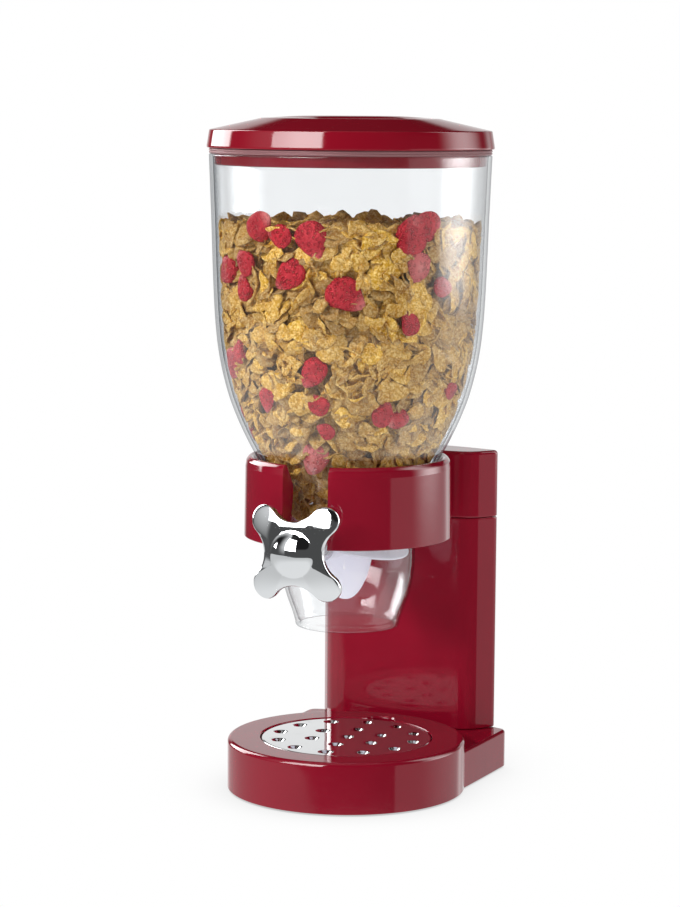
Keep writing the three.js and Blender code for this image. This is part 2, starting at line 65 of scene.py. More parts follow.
# ---------------------------------------------------------------- sizes taken from the frame
LID_R = box_mm("lid_cover")[1][0]
SKIRT_Z = z_span("lid_cover")[0]
CAN_BASE, RIM_Z = z_span("canister")
SEAL_BASE, SEAL_TOP = z_span("lid_seal")
LINER_BASE, LINER_TOP = z_span("lid_liner")
BASE_R = -box_mm("base_shell")[0][1]
BASE_TOP = z_span("base_shell")[1]
COLUMN_BASE, COLUMN_TOP = z_span("column_housing")
COLLAR_TOP = z_span("head_housing")[1]
TRAY_R = box_mm("drip_tray")[1][0]
TRAY_BASE, TRAY_TOP = z_span("drip_tray")
SHAFT_LO, SHAFT_HI = box_mm("drive_shaft")
SHAFT_Z = (SHAFT_LO[2] + SHAFT_HI[2]) / 2
FLOOR_Z = z_span("foot_front_left")[0]

# ---------------------------------------------------------------- sizes shared between pieces
SEAM_Z = COLUMN_TOP + 0.3                       # underside of the head, above the column
HEAD_TOP = 194.0
PLATE_SCREWS = ((-38, -30), (38, -30), (-38, 30), (38, 30))
FOOT_RECESSES = ((-41, -41), (41, -41), (-54, 82), (54, 82))
COLUMN_SCREWS = ((-30, 83.0), (30, 83.0))
HEAD_SCREWS = ((-22, 88.0), (22, 88.0))
PILOT_R = 1.75                                  # hole a screw bites into
CLEARANCE_R = 1.9                               # hole a screw passes through
HUB_BORE_R = 7.1                                # soft wheel's bore over its core
BUSHING_R = 6.0


# ---------------------------------------------------------------- mesh helpers
def shade(ob, sharp=32.0):
    """Smooth shading with edges steeper than `sharp` degrees kept sharp."""
    me = ob.data
    me.polygons.foreach_set("use_smooth", [True] * len(me.polygons))
    me.set_sharp_from_angle(angle=math.radians(sharp))
    me.update()
    return ob


def link_object(name, me):
    ob = bpy.data.objects.new(name, me)
    bpy.context.scene.collection.objects.link(ob)
    return ob


def make(name, verts, faces, material=None, sharp=32.0):
    me = bpy.data.meshes.new(name)
    me.from_pydata((np.asarray(verts, float) * MM).tolist(), [], faces)
    bm = bmesh.new()
    bm.from_mesh(me)
    bmesh.ops.remove_doubles(bm, verts=bm.verts, dist=WELD * MM)
    bmesh.ops.recalc_face_normals(bm, faces=bm.faces)
    if bm.calc_volume(signed=True) < 0:
        bmesh.ops.reverse_faces(bm, faces=bm.faces)
    bm.to_mesh(me)
    bm.free()
    ob = link_object(name, me)
    if material:
        me.materials.append(material)
    return shade(ob, sharp)


def fillet(points, steps=5, closed=False):
    """Rounds a path [(r, z, radius)] into [(r, z)]; a missing or zero radius keeps the corner."""
    out = []
    count = len(points)
    for i, p in enumerate(points):
        radius = p[2] if len(p) > 2 else 0.0
        if radius <= 0 or (not closed and (i == 0 or i == count - 1)):
            out.append((p[0], p[1]))
            continue
        before = np.array(points[(i - 1) % count][:2], float)
        after = np.array(points[(i + 1) % count][:2], float)
        corner = np.array(p[:2], float)
        u, v = before - corner, after - corner
        len_u, len_v = np.linalg.norm(u), np.linalg.norm(v)
        u, v = u / len_u, v / len_v
        angle = math.acos(max(-1, min(1, float(u @ v))))
        if angle > pi - 0.02:
            out.append((p[0], p[1]))
            continue
        reach = min(radius / math.tan(angle / 2), 0.48 * len_u, 0.48 * len_v)
        fitted = reach * math.tan(angle / 2)
        centre = corner + (u + v) / np.linalg.norm(u + v) * (fitted / math.sin(angle / 2))
        start, end = corner + u * reach - centre, corner + v * reach - centre
        first = math.atan2(start[1], start[0])
        turn = (math.atan2(end[1], end[0]) - first + pi) % (2 * pi) - pi
        for k in range(steps + 1):
            t = first + turn * k / steps
            out.append((centre[0] + fitted * math.cos(t), centre[1] + fitted * math.sin(t)))
    return out


def densify(path, step):
    out = [path[0]]
    for a, b in zip(path[:-1], path[1:]):
        count = max(1, int(round(math.hypot(b[0] - a[0], b[1] - a[1]) / step)))
        for i in range(1, count + 1):
            out.append((a[0] + (b[0] - a[0]) * i / count, a[1] + (b[1] - a[1]) * i / count))
    return out


def ring_faces(rings, closed=False):
    """Faces between rings of vertex indices; a ring of one vertex is a pole."""
    pairs = list(zip(rings[:-1], rings[1:]))
    if closed:
        pairs.append((rings[-1], rings[0]))
    faces = []
    for a, b in pairs:
        count = max(len(a), len(b))
        if count == 1:
            continue
        for k in range(count):
            k2 = (k + 1) % count
            if len(a) == 1:
                faces.append((a[0], b[k], b[k2]))
            elif len(b) == 1:
                faces.append((a[k], a[k2], b[0]))
            else:
                faces.append((a[k], a[k2], b[k2], b[k]))
    return faces


def even_rings(rings, size):
    return [range(i * size, (i + 1) * size) for i in range(rings)]


def lathe_data(profile, seg, closed):
    verts, rings = [], []
    for r, z in profile:
        start = len(verts)
        if r < 1e-6:
            verts.append((0.0, 0.0, z))
        else:
            angles = [2 * pi * k / seg for k in range(seg)]
            verts.extend((r * math.cos(a), r * math.sin(a), z) for a in angles)
        rings.append(range(start, len(verts)))
    return verts, ring_faces(rings, closed)


# Solids without a name are tools, used up by cut() or join().
TOOL = "tool"


def lathe(profile, name=TOOL, material=None, seg=128, closed=False, sharp=32.0, displace=None,
          at=(0, 0)):
    """Turns [(r, z)] about a vertical axis through `at`."""
    verts, faces = lathe_data(profile, seg, closed)
    if displace:
        verts = [displace(*v) for v in verts]
    verts = [(x + at[0], y + at[1], z) for x, y, z in verts]
    return make(name, verts, faces, material, sharp)


def lathe_y(profile, name=TOOL, material=None, seg=64, closed=False):
    """Turns [(r, y)] about the shaft's axis."""
    verts, faces = lathe_data(profile, seg, closed)
    return make(name, [(x, z, SHAFT_Z + y) for x, y, z in verts], faces, material)


def rod(r, start, end):
    """Profile of a plain cylinder."""
    return [(0, start), (r, start), (r, end), (0, end)]


def cylinder(r, z0, z1, at=(0, 0), seg=48):
    return lathe(rod(r, z0, z1), seg=seg, at=at)


def box(x0, x1, y0, y1, z0, z1):
    verts = [(x, y, z) for z in (z0, z1) for y in (y0, y1) for x in (x0, x1)]
    faces = [(0, 2, 3, 1), (4, 5, 7, 6), (0, 1, 5, 4), (2, 6, 7, 3), (0, 4, 6, 2), (1, 3, 7, 5)]
    return make(TOOL, verts, faces)


def normals2d(outline):
    """Outward mitre vectors at the corners of a closed outline."""
    u, v = outline - np.roll(outline, 1, 0), np.roll(outline, -1, 0) - outline
    u /= np.linalg.norm(u, axis=1)[:, None]
    v /= np.linalg.norm(v, axis=1)[:, None]
    nu, nv = np.stack([u[:, 1], -u[:, 0]], 1), np.stack([v[:, 1], -v[:, 0]], 1)
    k = 1 + (nu * nv).sum(1)
    return (nu + nv) / k[:, None]


def sweep(outline, section, name=TOOL, material=None, loop=False):
    """Sweeps [(inset, z)] round an outline; its ends are capped unless it is a closed loop."""
    outline = np.array(outline, float)
    normals = normals2d(outline)
    verts = [(p[0] - q[0] * d, p[1] - q[1] * d, z)
             for d, z in section for p, q in zip(outline, normals)]
    rings = even_rings(len(section), len(outline))
    faces = ring_faces(rings, loop)
    if not loop:
        faces += [tuple(rings[0]), tuple(rings[-1])]
    return make(name, verts, faces, material)


def inset(outline, distance):
    """The outline moved inwards, its crossed-over corner loops removed."""
    outline = np.array(outline, float)
    moved = outline - normals2d(outline) * distance
    edge = np.roll(outline, -1, 0) - outline
    kept = []
    for q in moved:
        t = np.clip(((q - outline) * edge).sum(1) / (edge * edge).sum(1), 0, 1)
        gap = np.linalg.norm(outline + edge * t[:, None] - q, axis=1).min()
        if gap > distance - 0.01:
            kept.append(tuple(q))
    return kept


def prism(outline, distance, z0, z1):
    return sweep(inset(outline, distance), [(0, z0), (0, z1)])


def symmetric_outline(right, step, sigma):
    """Mirrors the right half, resamples it evenly and rounds it with a Gaussian."""
    points = np.array(right + [(-x, y) for x, y in reversed(right)], float)
    ring = np.vstack([points, points[:1]])
    along = np.concatenate([[0], np.cumsum(np.linalg.norm(np.diff(ring, axis=0), axis=1))])
    places = np.linspace(0, along[-1], int(along[-1] / step), endpoint=False)
    even = np.stack([np.interp(places, along, ring[:, i]) for i in (0, 1)], 1)
    k = np.arange(-12, 13)
    weights = np.exp(-0.5 * (k * step / sigma) ** 2)
    weights /= weights.sum()
    smooth = sum(w * np.roll(even, -shift, 0) for w, shift in zip(weights, k))
    return [tuple(v) for v in smooth]


def solid_measure(me):
    """Volume in mm3 and the number of edges that don't join two faces."""
    bm = bmesh.new()
    bm.from_mesh(me)
    volume = bm.calc_volume(signed=True) * 1e9 if len(bm.faces) else 0.0
    open_edges = sum(1 for e in bm.edges if len(e.link_faces) != 2)
    bm.free()
    return volume, open_edges


def boolean(solid, tool, operation):
    """Tries the solvers in turn and keeps the result with a plausible volume and fewest gaps."""
    v_solid, v_tool = solid_measure(solid.data)[0], solid_measure(tool.data)[0]
    if operation == "UNION":
        low, high = max(v_solid, v_tool), v_solid + v_tool
    else:
        low, high = v_solid - v_tool, v_solid
    best = None
    for solver, use_self in (("EXACT", False), ("FAST", False), ("EXACT", True)):
        mod = solid.modifiers.new("boolean", "BOOLEAN")
        mod.object, mod.operation, mod.solver = tool, operation, solver
        mod.use_self = use_self
        bpy.context.view_layer.update()
        depsgraph = bpy.context.evaluated_depsgraph_get()
        me = bpy.data.meshes.new_from_object(solid.evaluated_get(depsgraph))
        solid.modifiers.clear()
        volume, gaps = solid_measure(me)
        off = max(0.0, low - volume, volume - high) / max(1.0, v_solid)
        score = (off > 0.002, gaps > 12, off)
        if best is None or score < best[0]:
            if best:
                bpy.data.meshes.remove(best[1])
            best = (score, me)
        else:
            bpy.data.meshes.remove(me)
        if not score[0] and not score[1]:
            break
    me = best[1]
    old = solid.data
    name = old.name
    solid.data = me
    bpy.data.meshes.remove(old)
    me.name = name
    tool_mesh = tool.data
    bpy.data.objects.remove(tool)
    bpy.data.meshes.remove(tool_mesh)
    while len(me.materials) > 1:
        me.materials.pop(index=1)
    me.polygons.foreach_set("material_index", [0] * len(me.polygons))


def cut(solid, *tools):
    for tool in tools:
        boolean(solid, tool, "DIFFERENCE")
    return solid


def join(solid, *tools):
    for tool in tools:
        boolean(solid, tool, "UNION")
    return solid


def weight_normals(ob, weight=80):
    mod = ob.modifiers.new("normals", "WEIGHTED_NORMAL")
    mod.keep_sharp = True
    mod.weight = weight
    return ob


def fit(ob, body, node):
    """Parents the piece to its body's empty and hides the frame's node that it stands for."""
    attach(ob, body)
    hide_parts(node)


# ---------------------------------------------------------------- shader helpers
def operator(kind, swapped=False):
    def method(self, other):
        pair = (other, self) if swapped else (self, other)
        return self.graph.math(kind, *pair)
    return method


class Signal:
    """A node's output; arithmetic adds math nodes, [name] picks another output of the node."""

    def __init__(self, graph, socket):
        self.graph, self.socket = graph, socket

    def __getitem__(self, output):
        return Signal(self.graph, self.socket.node.outputs[output])

    __add__, __radd__ = operator("ADD"), operator("ADD", True)
    __sub__, __rsub__ = operator("SUBTRACT"), operator("SUBTRACT", True)
    __mul__, __rmul__ = operator("MULTIPLY"), operator("MULTIPLY", True)
    __truediv__ = operator("DIVIDE")


class Graph:
    """The node tree of a material or world."""

    def __init__(self, owner, output="ShaderNodeOutputMaterial"):
        owner.use_nodes = True
        self.owner, self.tree = owner, owner.node_tree
        self.tree.nodes.clear()
        self.end = self.tree.nodes.new(output)

    def finish(self, shader):
        self.tree.links.new(shader.socket, self.end.inputs[0])
        return self.owner

    def add(self, kind, inputs={}, **settings):
        node = self.tree.nodes.new(kind)
        for key, value in settings.items():
            setattr(node, key, value)
        for key, value in inputs.items():
            if isinstance(value, Signal):
                self.tree.links.new(value.socket, node.inputs[key])
            else:
                node.inputs[key].default_value = value
        return Signal(self, node.outputs[0])

    def coordinates(self, kind="Object"):
        return self.add("ShaderNodeTexCoord")[kind]

    def math(self, operation, *values):
        return self.add("ShaderNodeMath", dict(enumerate(values)), operation=operation)

    def mix(self, factor, a, b):
        a, b = [(*c, 1) if isinstance(c, tuple) else c for c in (a, b)]
        return self.add("ShaderNodeMix", {0: factor, 6: a, 7: b}, data_type="RGBA")[2]

    def mix_shader(self, factor, a, b):
        return self.add("ShaderNodeMixShader", {0: factor, 1: a, 2: b})

    def ramp(self, factor, *stops):
        """Grey ramp from stops (position, value)."""
        ramp = self.add("ShaderNodeValToRGB", {0: factor})
        elements = ramp.socket.node.color_ramp.elements
        while len(elements) < len(stops):
            elements.new(0.5)
        for element, (position, value) in zip(elements, stops):
            element.position = position
            element.color = (value, value, value, 1)
        return ramp

    def noise(self, place, scale, detail=3.0, roughness=0.5, distortion=0.0):
        return self.add("ShaderNodeTexNoise", {
            "Vector": place, "Scale": scale, "Detail": detail, "Roughness": roughness,
            "Distortion": distortion})["Fac"]

    def bump(self, height, strength, distance):
        return self.add("ShaderNodeBump", {
            "Strength": strength, "Distance": distance, "Height": height})

    def step(self, x, low, high):
        """Rises smoothly from 0 to 1 between low and high."""
        return self.add("ShaderNodeMapRange", {"Value": x, "From Min": low, "From Max": high},
                        interpolation_type="SMOOTHSTEP")

    def plateau(self, x, rise, rise_end, fall, fall_end):
        return self.step(x, rise, rise_end) * (1.0 - self.step(x, fall, fall_end))

    def facing(self):
        return self.add("ShaderNodeLayerWeight", {"Blend": 0.5})["Facing"]


def scaled(colour, factor, lift=0.0):
    return tuple(min(1, c * factor + lift) for c in colour)


# ---------------------------------------------------------------- materials
def moulded(name, base, roughness, deep=None, metallic=0.0, peel=0.06, fleck=0.06, scratch=0.25,
            wear=None, graze=False):
    """Moulded or plated surface.

    The colour drifts from base to deep. peel is the ripple's strength, fleck the share of light
    specks, scratch the roughness of hairline marks, wear the paleness of worn edges. graze takes
    the mirror away at glancing angles.
    """
    g = Graph(bpy.data.materials.new(name))
    place = g.coordinates()
    drift = g.noise(place, scale=14.0)
    fine = g.noise(place, scale=900.0, detail=2.0)
    colour = g.mix(g.ramp(drift, (0.35, 0.0), (0.65, 1.0)), base, deep or scaled(base, 0.86))
    colour = g.mix(fine * fleck, colour, scaled(base, 1.35, lift=0.01))
    # hairline marks: stretched noise, of which a narrow band is kept
    stretched = g.add("ShaderNodeMapping", {
        "Vector": place, "Scale": (1.0, 1.0, 14.0), "Rotation": (0.5, 0.9, 0.3)})
    hair = g.noise(stretched, scale=90.0, detail=4.0, roughness=0.7, distortion=0.6)
    marks = g.ramp(hair, (0.60, 0.0), (0.66, 1.0), (0.72, 0.0))
    cloud = g.noise(place, scale=45.0, detail=4.0, roughness=0.6)
    rough = roughness + (cloud - 0.5) * (roughness * 0.7)
    rough = rough + marks * (scratch * 0.12)
    if wear:
        pointed = g.add("ShaderNodeNewGeometry")["Pointiness"]
        edge = g.ramp(pointed, (0.52, 0.0), (0.60, 1.0))
        worn = edge * g.ramp(cloud, (0.42, 0.0), (0.62, 1.0))
        colour = g.mix(worn * wear, colour, scaled(base, 1.8, lift=0.04))
        rough = rough + worn * 0.08
    ripple = g.noise(place, scale=60.0, detail=2.0)
    height = ripple * 0.7 + fine * 0.12 - marks * 0.05
    specular = 0.5
    if graze:
        specular = specular * (1.0 - g.step(g.facing(), 0.70, 0.80) * 0.93)
    return g.finish(g.add("ShaderNodeBsdfPrincipled", {
        "Base Color": colour, "Roughness": g.math("MINIMUM", rough, 1.0), "Metallic": metallic,
        "IOR": 1.5, "Specular IOR Level": specular,
        "Normal": g.bump(height, strength=peel, distance=0.001)}))


def clear_plastic(name):
    """Clear polymer, seen wall by wall: light passes straight through, with Fresnel reflections."""
    tint, edge_tint = (0.984, 0.990, 0.994), (0.12, 0.14, 0.16)     # face on, edge on
    gloss = 1.0             # strength of the reflections
    knee = 1.6              # how strongly the high reflections are held back
    inside_loss = 0.75      # share of reflection lost on back faces
    haze = 0.012            # cover of the faint handling marks
    g = Graph(bpy.data.materials.new(name))
    place = g.coordinates()
    cloud = g.noise(place, scale=30.0)
    flow = g.noise(place, scale=12.0, detail=2.0, distortion=0.8)
    normal = g.bump(flow + cloud * 0.2, strength=0.10, distance=0.001)
    colour = g.mix(g.math("POWER", g.facing(), 6.0), tint, edge_tint)
    through = g.add("ShaderNodeBsdfTransparent", {"Color": colour})
    mirror = g.add("ShaderNodeBsdfGlossy", {
        "Color": (1, 1, 1, 1), "Roughness": 0.03 + cloud * 0.03, "Normal": normal})
    fresnel = g.add("ShaderNodeFresnel", {"IOR": 1.49})
    softened = fresnel / (1.0 + fresnel * knee)
    # rays inside a shadow pass straight through
    shadow = g.add("ShaderNodeLightPath")["Is Shadow Ray"]
    share = g.math("MINIMUM", softened * gloss, 1.0) * (1.0 - shadow)
    backfacing = g.add("ShaderNodeNewGeometry")["Backfacing"]
    share = share * (1.0 - backfacing * inside_loss)
    marks = g.add("ShaderNodeBsdfDiffuse", {"Color": (0.9, 0.9, 0.92, 1)})
    cover = g.ramp(cloud, (0.45, 0.0), (0.75, 1.0)) * haze
    return g.finish(g.mix_shader(share, g.mix_shader(cover, through, marks), mirror))


def silicone(name, base, roughness, through, clear=0.0, glow=0.0):
    """Soft skin: through is its translucent share, clear its see-through share, glow the strength
    of its painted glow, an emission that stands in for light scattered inside the skin.
    """
    g = Graph(bpy.data.materials.new(name))
    place = g.coordinates()
    cloud = g.noise(place, scale=40.0, detail=4.0)
    grain = g.noise(place, scale=1400.0, detail=2.0)
    colour = g.mix(g.ramp(cloud, (0.3, 0.0), (0.7, 1.0)), base, scaled(base, 0.93))
    skin = g.add("ShaderNodeBsdfPrincipled", {
        "Base Color": colour, "Roughness": (roughness - 0.08) + cloud * 0.16, "IOR": 1.42,
        "Normal": g.bump(grain * 0.3 + cloud, strength=0.15, distance=0.0008)})
    shader = g.mix_shader(through, skin, g.add("ShaderNodeBsdfTranslucent", {"Color": colour}))
    # painted glow: emission that stands in for light scattered inside the pale silicone; the part
    # is no lamp
    if glow:
        light = g.add("ShaderNodeEmission", {"Color": colour, "Strength": glow})
        shader = g.add("ShaderNodeAddShader", {0: shader, 1: light})
    if clear:
        shader = g.mix_shader(clear, shader, g.add("ShaderNodeBsdfTransparent"))
    return g.finish(shader)


def flake_material():
    """Toasted brown; each flake's "tone" shifts its hue, saturation and value. A low tone also
    paints shade: it is given to the flakes further in and to the heap behind them.
    """
    g = Graph(bpy.data.materials.new("bran_flake"))
    place = g.coordinates()
    tone = g.add("ShaderNodeAttribute", attribute_name="tone")["Fac"]
    patches = g.noise(place, scale=140.0, detail=4.0, roughness=0.6, distortion=0.4)
    grain = g.noise(place, scale=620.0, detail=5.0, roughness=0.7)
    specks = g.noise(place, scale=1500.0, detail=2.0)
    toast, dark_toast = (0.70, 0.435, 0.145), (0.43, 0.215, 0.052)
    pale_bran, dark_bran = (0.88, 0.66, 0.33), (0.26, 0.105, 0.022)
    colour = g.mix(g.ramp(patches, (0.30, 0.0), (0.70, 1.0)), toast, dark_toast)
    colour = g.mix(g.ramp(grain, (0.45, 0.0), (0.62, 1.0)), colour, pale_bran)
    colour = g.mix(g.ramp(specks, (0.60, 0.0), (0.68, 1.0)), colour, dark_bran)
    # value follows the tone: random tone per flake, plus painted shade where the tone is lowered by
    # depth
    colour = g.add("ShaderNodeHueSaturation", {
        "Hue": 0.492 + tone * 0.014, "Saturation": 1.04 + tone * 0.14,
        "Value": 0.54 + tone * 0.76, "Color": colour})
    height = grain * 0.6 + patches * 0.9 + specks * 0.15
    return g.finish(g.add("ShaderNodeBsdfPrincipled", {
        "Base Color": colour, "Roughness": 0.62, "Specular IOR Level": 0.3,
        "Normal": g.bump(height, strength=0.85, distance=0.0010)}))


def berry_material():
    """Dried red fruit with seeds in pits; the "tone" attribute makes it paler."""
    g = Graph(bpy.data.materials.new("dried_strawberry"))
    place = g.coordinates()
    pale = g.add("ShaderNodeAttribute", attribute_name="tone")["Fac"]
    patches = g.noise(place, scale=170.0, detail=4.0, roughness=0.6)
    cell = g.add("ShaderNodeTexVoronoi", {"Vector": place, "Scale": 520.0})["Distance"]
    seed = g.ramp(cell, (0.09, 1.0), (0.17, 0.0))
    deep_red, red = (0.36, 0.006, 0.016), (0.56, 0.026, 0.040)
    pale_flesh, seed_brown = (0.80, 0.33, 0.30), (0.72, 0.30, 0.14)
    colour = g.mix(g.ramp(patches, (0.35, 0.0), (0.70, 1.0)), deep_red, red)
    colour = g.mix(pale * 0.75, colour, pale_flesh)
    colour = g.mix(seed * 0.65, colour, seed_brown)
    pit = g.ramp(cell, (0.0, 0.75), (0.10, 0.55), (0.20, 0.0), (0.50, 1.0))
    return g.finish(g.add("ShaderNodeBsdfPrincipled", {
        "Base Color": colour, "Roughness": 0.55, "Specular IOR Level": 0.35,
        "Normal": g.bump(pit + patches * 0.6, strength=0.85, distance=0.0010)}))


RED = moulded("red_gloss_plastic", base=(0.250, 0.0048, 0.0190), roughness=0.060,
              deep=(0.222, 0.0034, 0.0160), peel=0.045, fleck=0.05, wear=0.25)
RED_LID = moulded("red_gloss_lid_plastic", base=(0.250, 0.0048, 0.0160), roughness=0.060,
                  deep=(0.222, 0.0034, 0.0130), peel=0.04, fleck=0.05, wear=0.25, graze=True)
RED_SATIN = moulded("red_satin_plastic", base=(0.235, 0.0075, 0.0190), roughness=0.20,
                    deep=(0.205, 0.0055, 0.0115), peel=0.12, wear=0.2)
CLEAR = clear_plastic("clear_canister_plastic")
SEAL = silicone("seal_silicone", base=(0.40, 0.20, 0.21), roughness=0.35, through=0.30,
                clear=0.10)
# the blades carry a painted glow, standing in for light scattered inside them
PADDLE = silicone("paddle_silicone", base=(0.93, 0.93, 0.985), roughness=0.42, through=0.40,
                  glow=0.11)
LIGHT = moulded("light_acetal", base=(0.72, 0.73, 0.76), roughness=0.34, peel=0.10, fleck=0.03,
                wear=0.15)
CHROME = moulded("knob_chrome_plating", base=(0.80, 0.82, 0.835), roughness=0.035,
                 deep=(0.76, 0.785, 0.80), metallic=1.0, peel=0.010, fleck=0.0, scratch=0.5)
SHEET = moulded("polished_steel_sheet", base=(0.76, 0.775, 0.78), roughness=0.05,
                deep=(0.71, 0.725, 0.735), metallic=1.0, peel=0.006, fleck=0.0, scratch=0.7)
STEEL = moulded("zinc_plated_steel", base=(0.55, 0.56, 0.57), roughness=0.28, metallic=1.0,
                peel=0.2, fleck=0.05, scratch=1.0)
RUBBER = moulded("black_rubber", base=(0.022, 0.022, 0.024), roughness=0.72, peel=0.35,
                 fleck=0.10, scratch=0.6)
FLAKE = flake_material()
BERRY = berry_material()

# ---------------------------------------------------------------- lid
GRIP_ANGLE = math.radians(45.4)         # direction of the ridge across the lid
SHOULDER_Z = 387.2
CROWN_Z = 394.3
SKIRT_IN_R = LID_R - 2.3


def lid_relief(x, y, z):
    """A central ridge with a scoop on either side, faded out towards the shoulder."""
    if z < SKIRT_Z + 12.4:
        return (x, y, z)
    fade = max(0.0, min(1.0, (79.0 - math.hypot(x, y)) / 16.0))
    fade = fade * fade * (3 - 2 * fade)
    c, s = math.cos(GRIP_ANGLE), math.sin(GRIP_ANGLE)
    along, across = x * c + y * s, -x * s + y * c
    ends = max(0.0, 1 - (abs(along) / 50.0) ** 4)
    ridge = 1.2 * math.exp(-((across / 9.0) ** 2)) * ends
    side = math.exp(-(((abs(across) - 24.0) / 11.0) ** 2))
    scoop = 3.0 * side * math.exp(-((along / 30.0) ** 4))
    return (x, y, z + (ridge - scoop) * fade)


def lid():
    # (r, z, fillet): up the skirt and over the top to the axis
    top = densify(fillet([
        (SKIRT_IN_R, SKIRT_Z), (LID_R, SKIRT_Z, 0.5), (LID_R, SKIRT_Z + 1.2, 1.5),
        (LID_R - 1.45, SHOULDER_Z, 0.9), (51.2, 394.05, 6.0), (30.0, 394.27, 6.0),
        (0, CROWN_Z)], 6), 2.4)
    # from the axis out under the roof and down inside the skirt
    under = densify(fillet([
        (0, 389.0), (62.0, 388.6, 8), (79.2, 385.2, 3), (80.6, 383.4, 2),
        (LID_R - 2.4, SKIRT_Z + 0.3, 0.2), (SKIRT_IN_R, SKIRT_Z)], 4), 4.0)
    return lathe(top[::-1] + under[::-1], "lid_cover_shell", RED_LID, seg=192,
                 displace=lid_relief, sharp=50)


def lid_liner():
    return lathe(densify(fillet([
        (0, 378.6), (75.9, 378.6, 1.0), (75.9, LINER_BASE, 0.8), (78.5, LINER_BASE, 0.8),
        (78.6, 378.2, 0.8), (79.8, 379.0, 0.3), (79.8, LINER_TOP, 0.5), (0, LINER_TOP)], 4),
        5.0), "lid_liner_ring", RED_SATIN, seg=160)


def lid_seal():
    """Ring with two outer lips."""
    return lathe(fillet([
        (79.0, SEAL_BASE, 0.3), (81.4, SEAL_BASE, 0.5), (82.1, 374.4, 0.8), (81.3, 374.95, 0.3),
        (82.1, 375.5, 0.8), (81.6, SEAL_TOP, 0.4), (79.0, SEAL_TOP, 0.3)], 4, closed=True),
        "lid_seal_ring", SEAL, seg=160, closed=True)


fit(lid(), "lid", "lid_cover")
fit(lid_liner(), "lid", "lid_liner")
fit(lid_seal(), "lid", "lid_seal")

# ---------------------------------------------------------------- canister
# (z, outer radius), from the foot up over the wheel chamber and the funnel to the rim
CANISTER_PROFILE = [
    (97.7, 30.0), (106.0, 32.2), (114.5, 35.6), (124.0, 38.1), (134.0, 39.5), (160.0, 39.5),
    (168.0, 39.9), (174.0, 41.2), (180.0, 43.4), (185.6, 46.6), (191.4, 50.2), (198.0, 54.2),
    (207.0, 59.0), (212.8, 61.8), (218.7, 64.5), (224.6, 66.9), (230.5, 69.2), (236.4, 71.0),
    (242.2, 72.6), (248.1, 74.0), (253.9, 75.2), (259.8, 76.2), (265.7, 77.0), (277.3, 78.1),
    (289.0, 78.8), (300.6, 79.3), (312.2, 79.7), (323.8, 80.1), (335.4, 80.4), (347.0, 80.9),
    (358.5, 81.3), (373.2, 81.9)]
PROFILE_STEP = 0.5
PROFILE_SIGMA = 2.6     # spread of the Gaussian that evens the profile
BORE_R = 6.3            # bores for the shaft's bushings
FRONT_BOSS_END = -63.2
REAR_BOSS_END = 45.6


def smooth_profile(values):
    half = 24
    weights = np.exp(-0.5 * (np.arange(-half, half + 1) * PROFILE_STEP / PROFILE_SIGMA) ** 2)
    weights /= weights.sum()
    padded = np.concatenate([2 * values[0] - values[half:0:-1], values,
                             2 * values[-1] - values[-2:-half - 2:-1]])
    return np.convolve(padded, weights, "valid")


STATIONS = np.arange(97.7, RIM_Z + 0.01, PROFILE_STEP)
STATION_RADII = smooth_profile(np.interp(STATIONS, *np.array(CANISTER_PROFILE).T))


def r_out(z):
    return np.interp(z, STATIONS, STATION_RADII)


def r_in(z):
    wall = np.interp(z, [97.7, 150.0, 165.0, 200.0, 400.0], [1.8, 1.8, 1.8, 2.2, 2.2])
    return r_out(z) - wall


def canister():
    bead = [(r_out(98.4) - 0.2, CAN_BASE), (r_out(98.0) + 0.15, CAN_BASE + 0.25),
            (r_out(98.6) + 0.25, CAN_BASE + 0.9)]
    rise = np.concatenate([np.arange(99.6, 240, 2.2), np.arange(240, RIM_Z - 1.2, 5.0)])
    outer = [(r_out(z), z) for z in rise]
    rim = fillet([
        (r_out(RIM_Z - 1.4), RIM_Z - 1.4), (r_out(RIM_Z), RIM_Z, 1.0),
        (r_out(RIM_Z) - 2.2, RIM_Z, 1.0), (r_in(RIM_Z - 1.4), RIM_Z - 1.4)], 5)
    fall = np.concatenate([np.arange(RIM_Z - 4, 240, -5.0), np.arange(238, 102.5, -2.2)])
    inner = [(r_in(z), z) for z in fall]
    foot = [(r_in(101.2) - 0.15, 101.2), (r_in(100.4) - 0.9, 100.4), (r_in(99.6) - 1.0, 99.5),
            (r_in(98.6) - 0.7, 98.2), (r_in(98.0) + 0.1, CAN_BASE)]
    ob = lathe(bead + outer + rim + inner + foot, "canister_body", CLEAR, seg=144, closed=True)
    # the first point of the front boss stands alone on the axis
    front_boss = lathe_y(fillet([
        (0, -38.3), (0, -38.2), (9.4, -38.2), (9.4, FRONT_BOSS_END, 0.7), (0, FRONT_BOSS_END)],
        4))
    rear_boss = lathe_y(fillet([
        (0, 38.2), (8.6, 38.2), (8.6, REAR_BOSS_END, 1.2), (0, REAR_BOSS_END)], 4))
    join(ob, front_boss, rear_boss)
    cut(ob, lathe_y(rod(BORE_R, -70.0, -30.0)), lathe_y(rod(BORE_R, 30.0, 43.8)))
    return shade(ob, 50)


def bushing(name, profile):
    return lathe_y(fillet(profile, 4, closed=True), name, LIGHT, closed=True)


fit(canister(), "canister", "canister")
fit(bushing("shaft_bushing_front", [
    (4.5, -65.4, 0.3), (8.4, -65.4, 0.5), (8.4, -63.5, 0.4), (BUSHING_R, -63.5),
    (BUSHING_R, -38.8, 0.4), (4.5, -38.8, 0.2)]), "canister", "front_bushing")
fit(bushing("shaft_bushing_rear", [
    (4.5, 37.9, 0.2), (BUSHING_R, 37.9, 0.4), (BUSHING_R, 43.4, 0.4), (4.5, 43.4, 0.2)]),
    "canister", "rear_bushing")

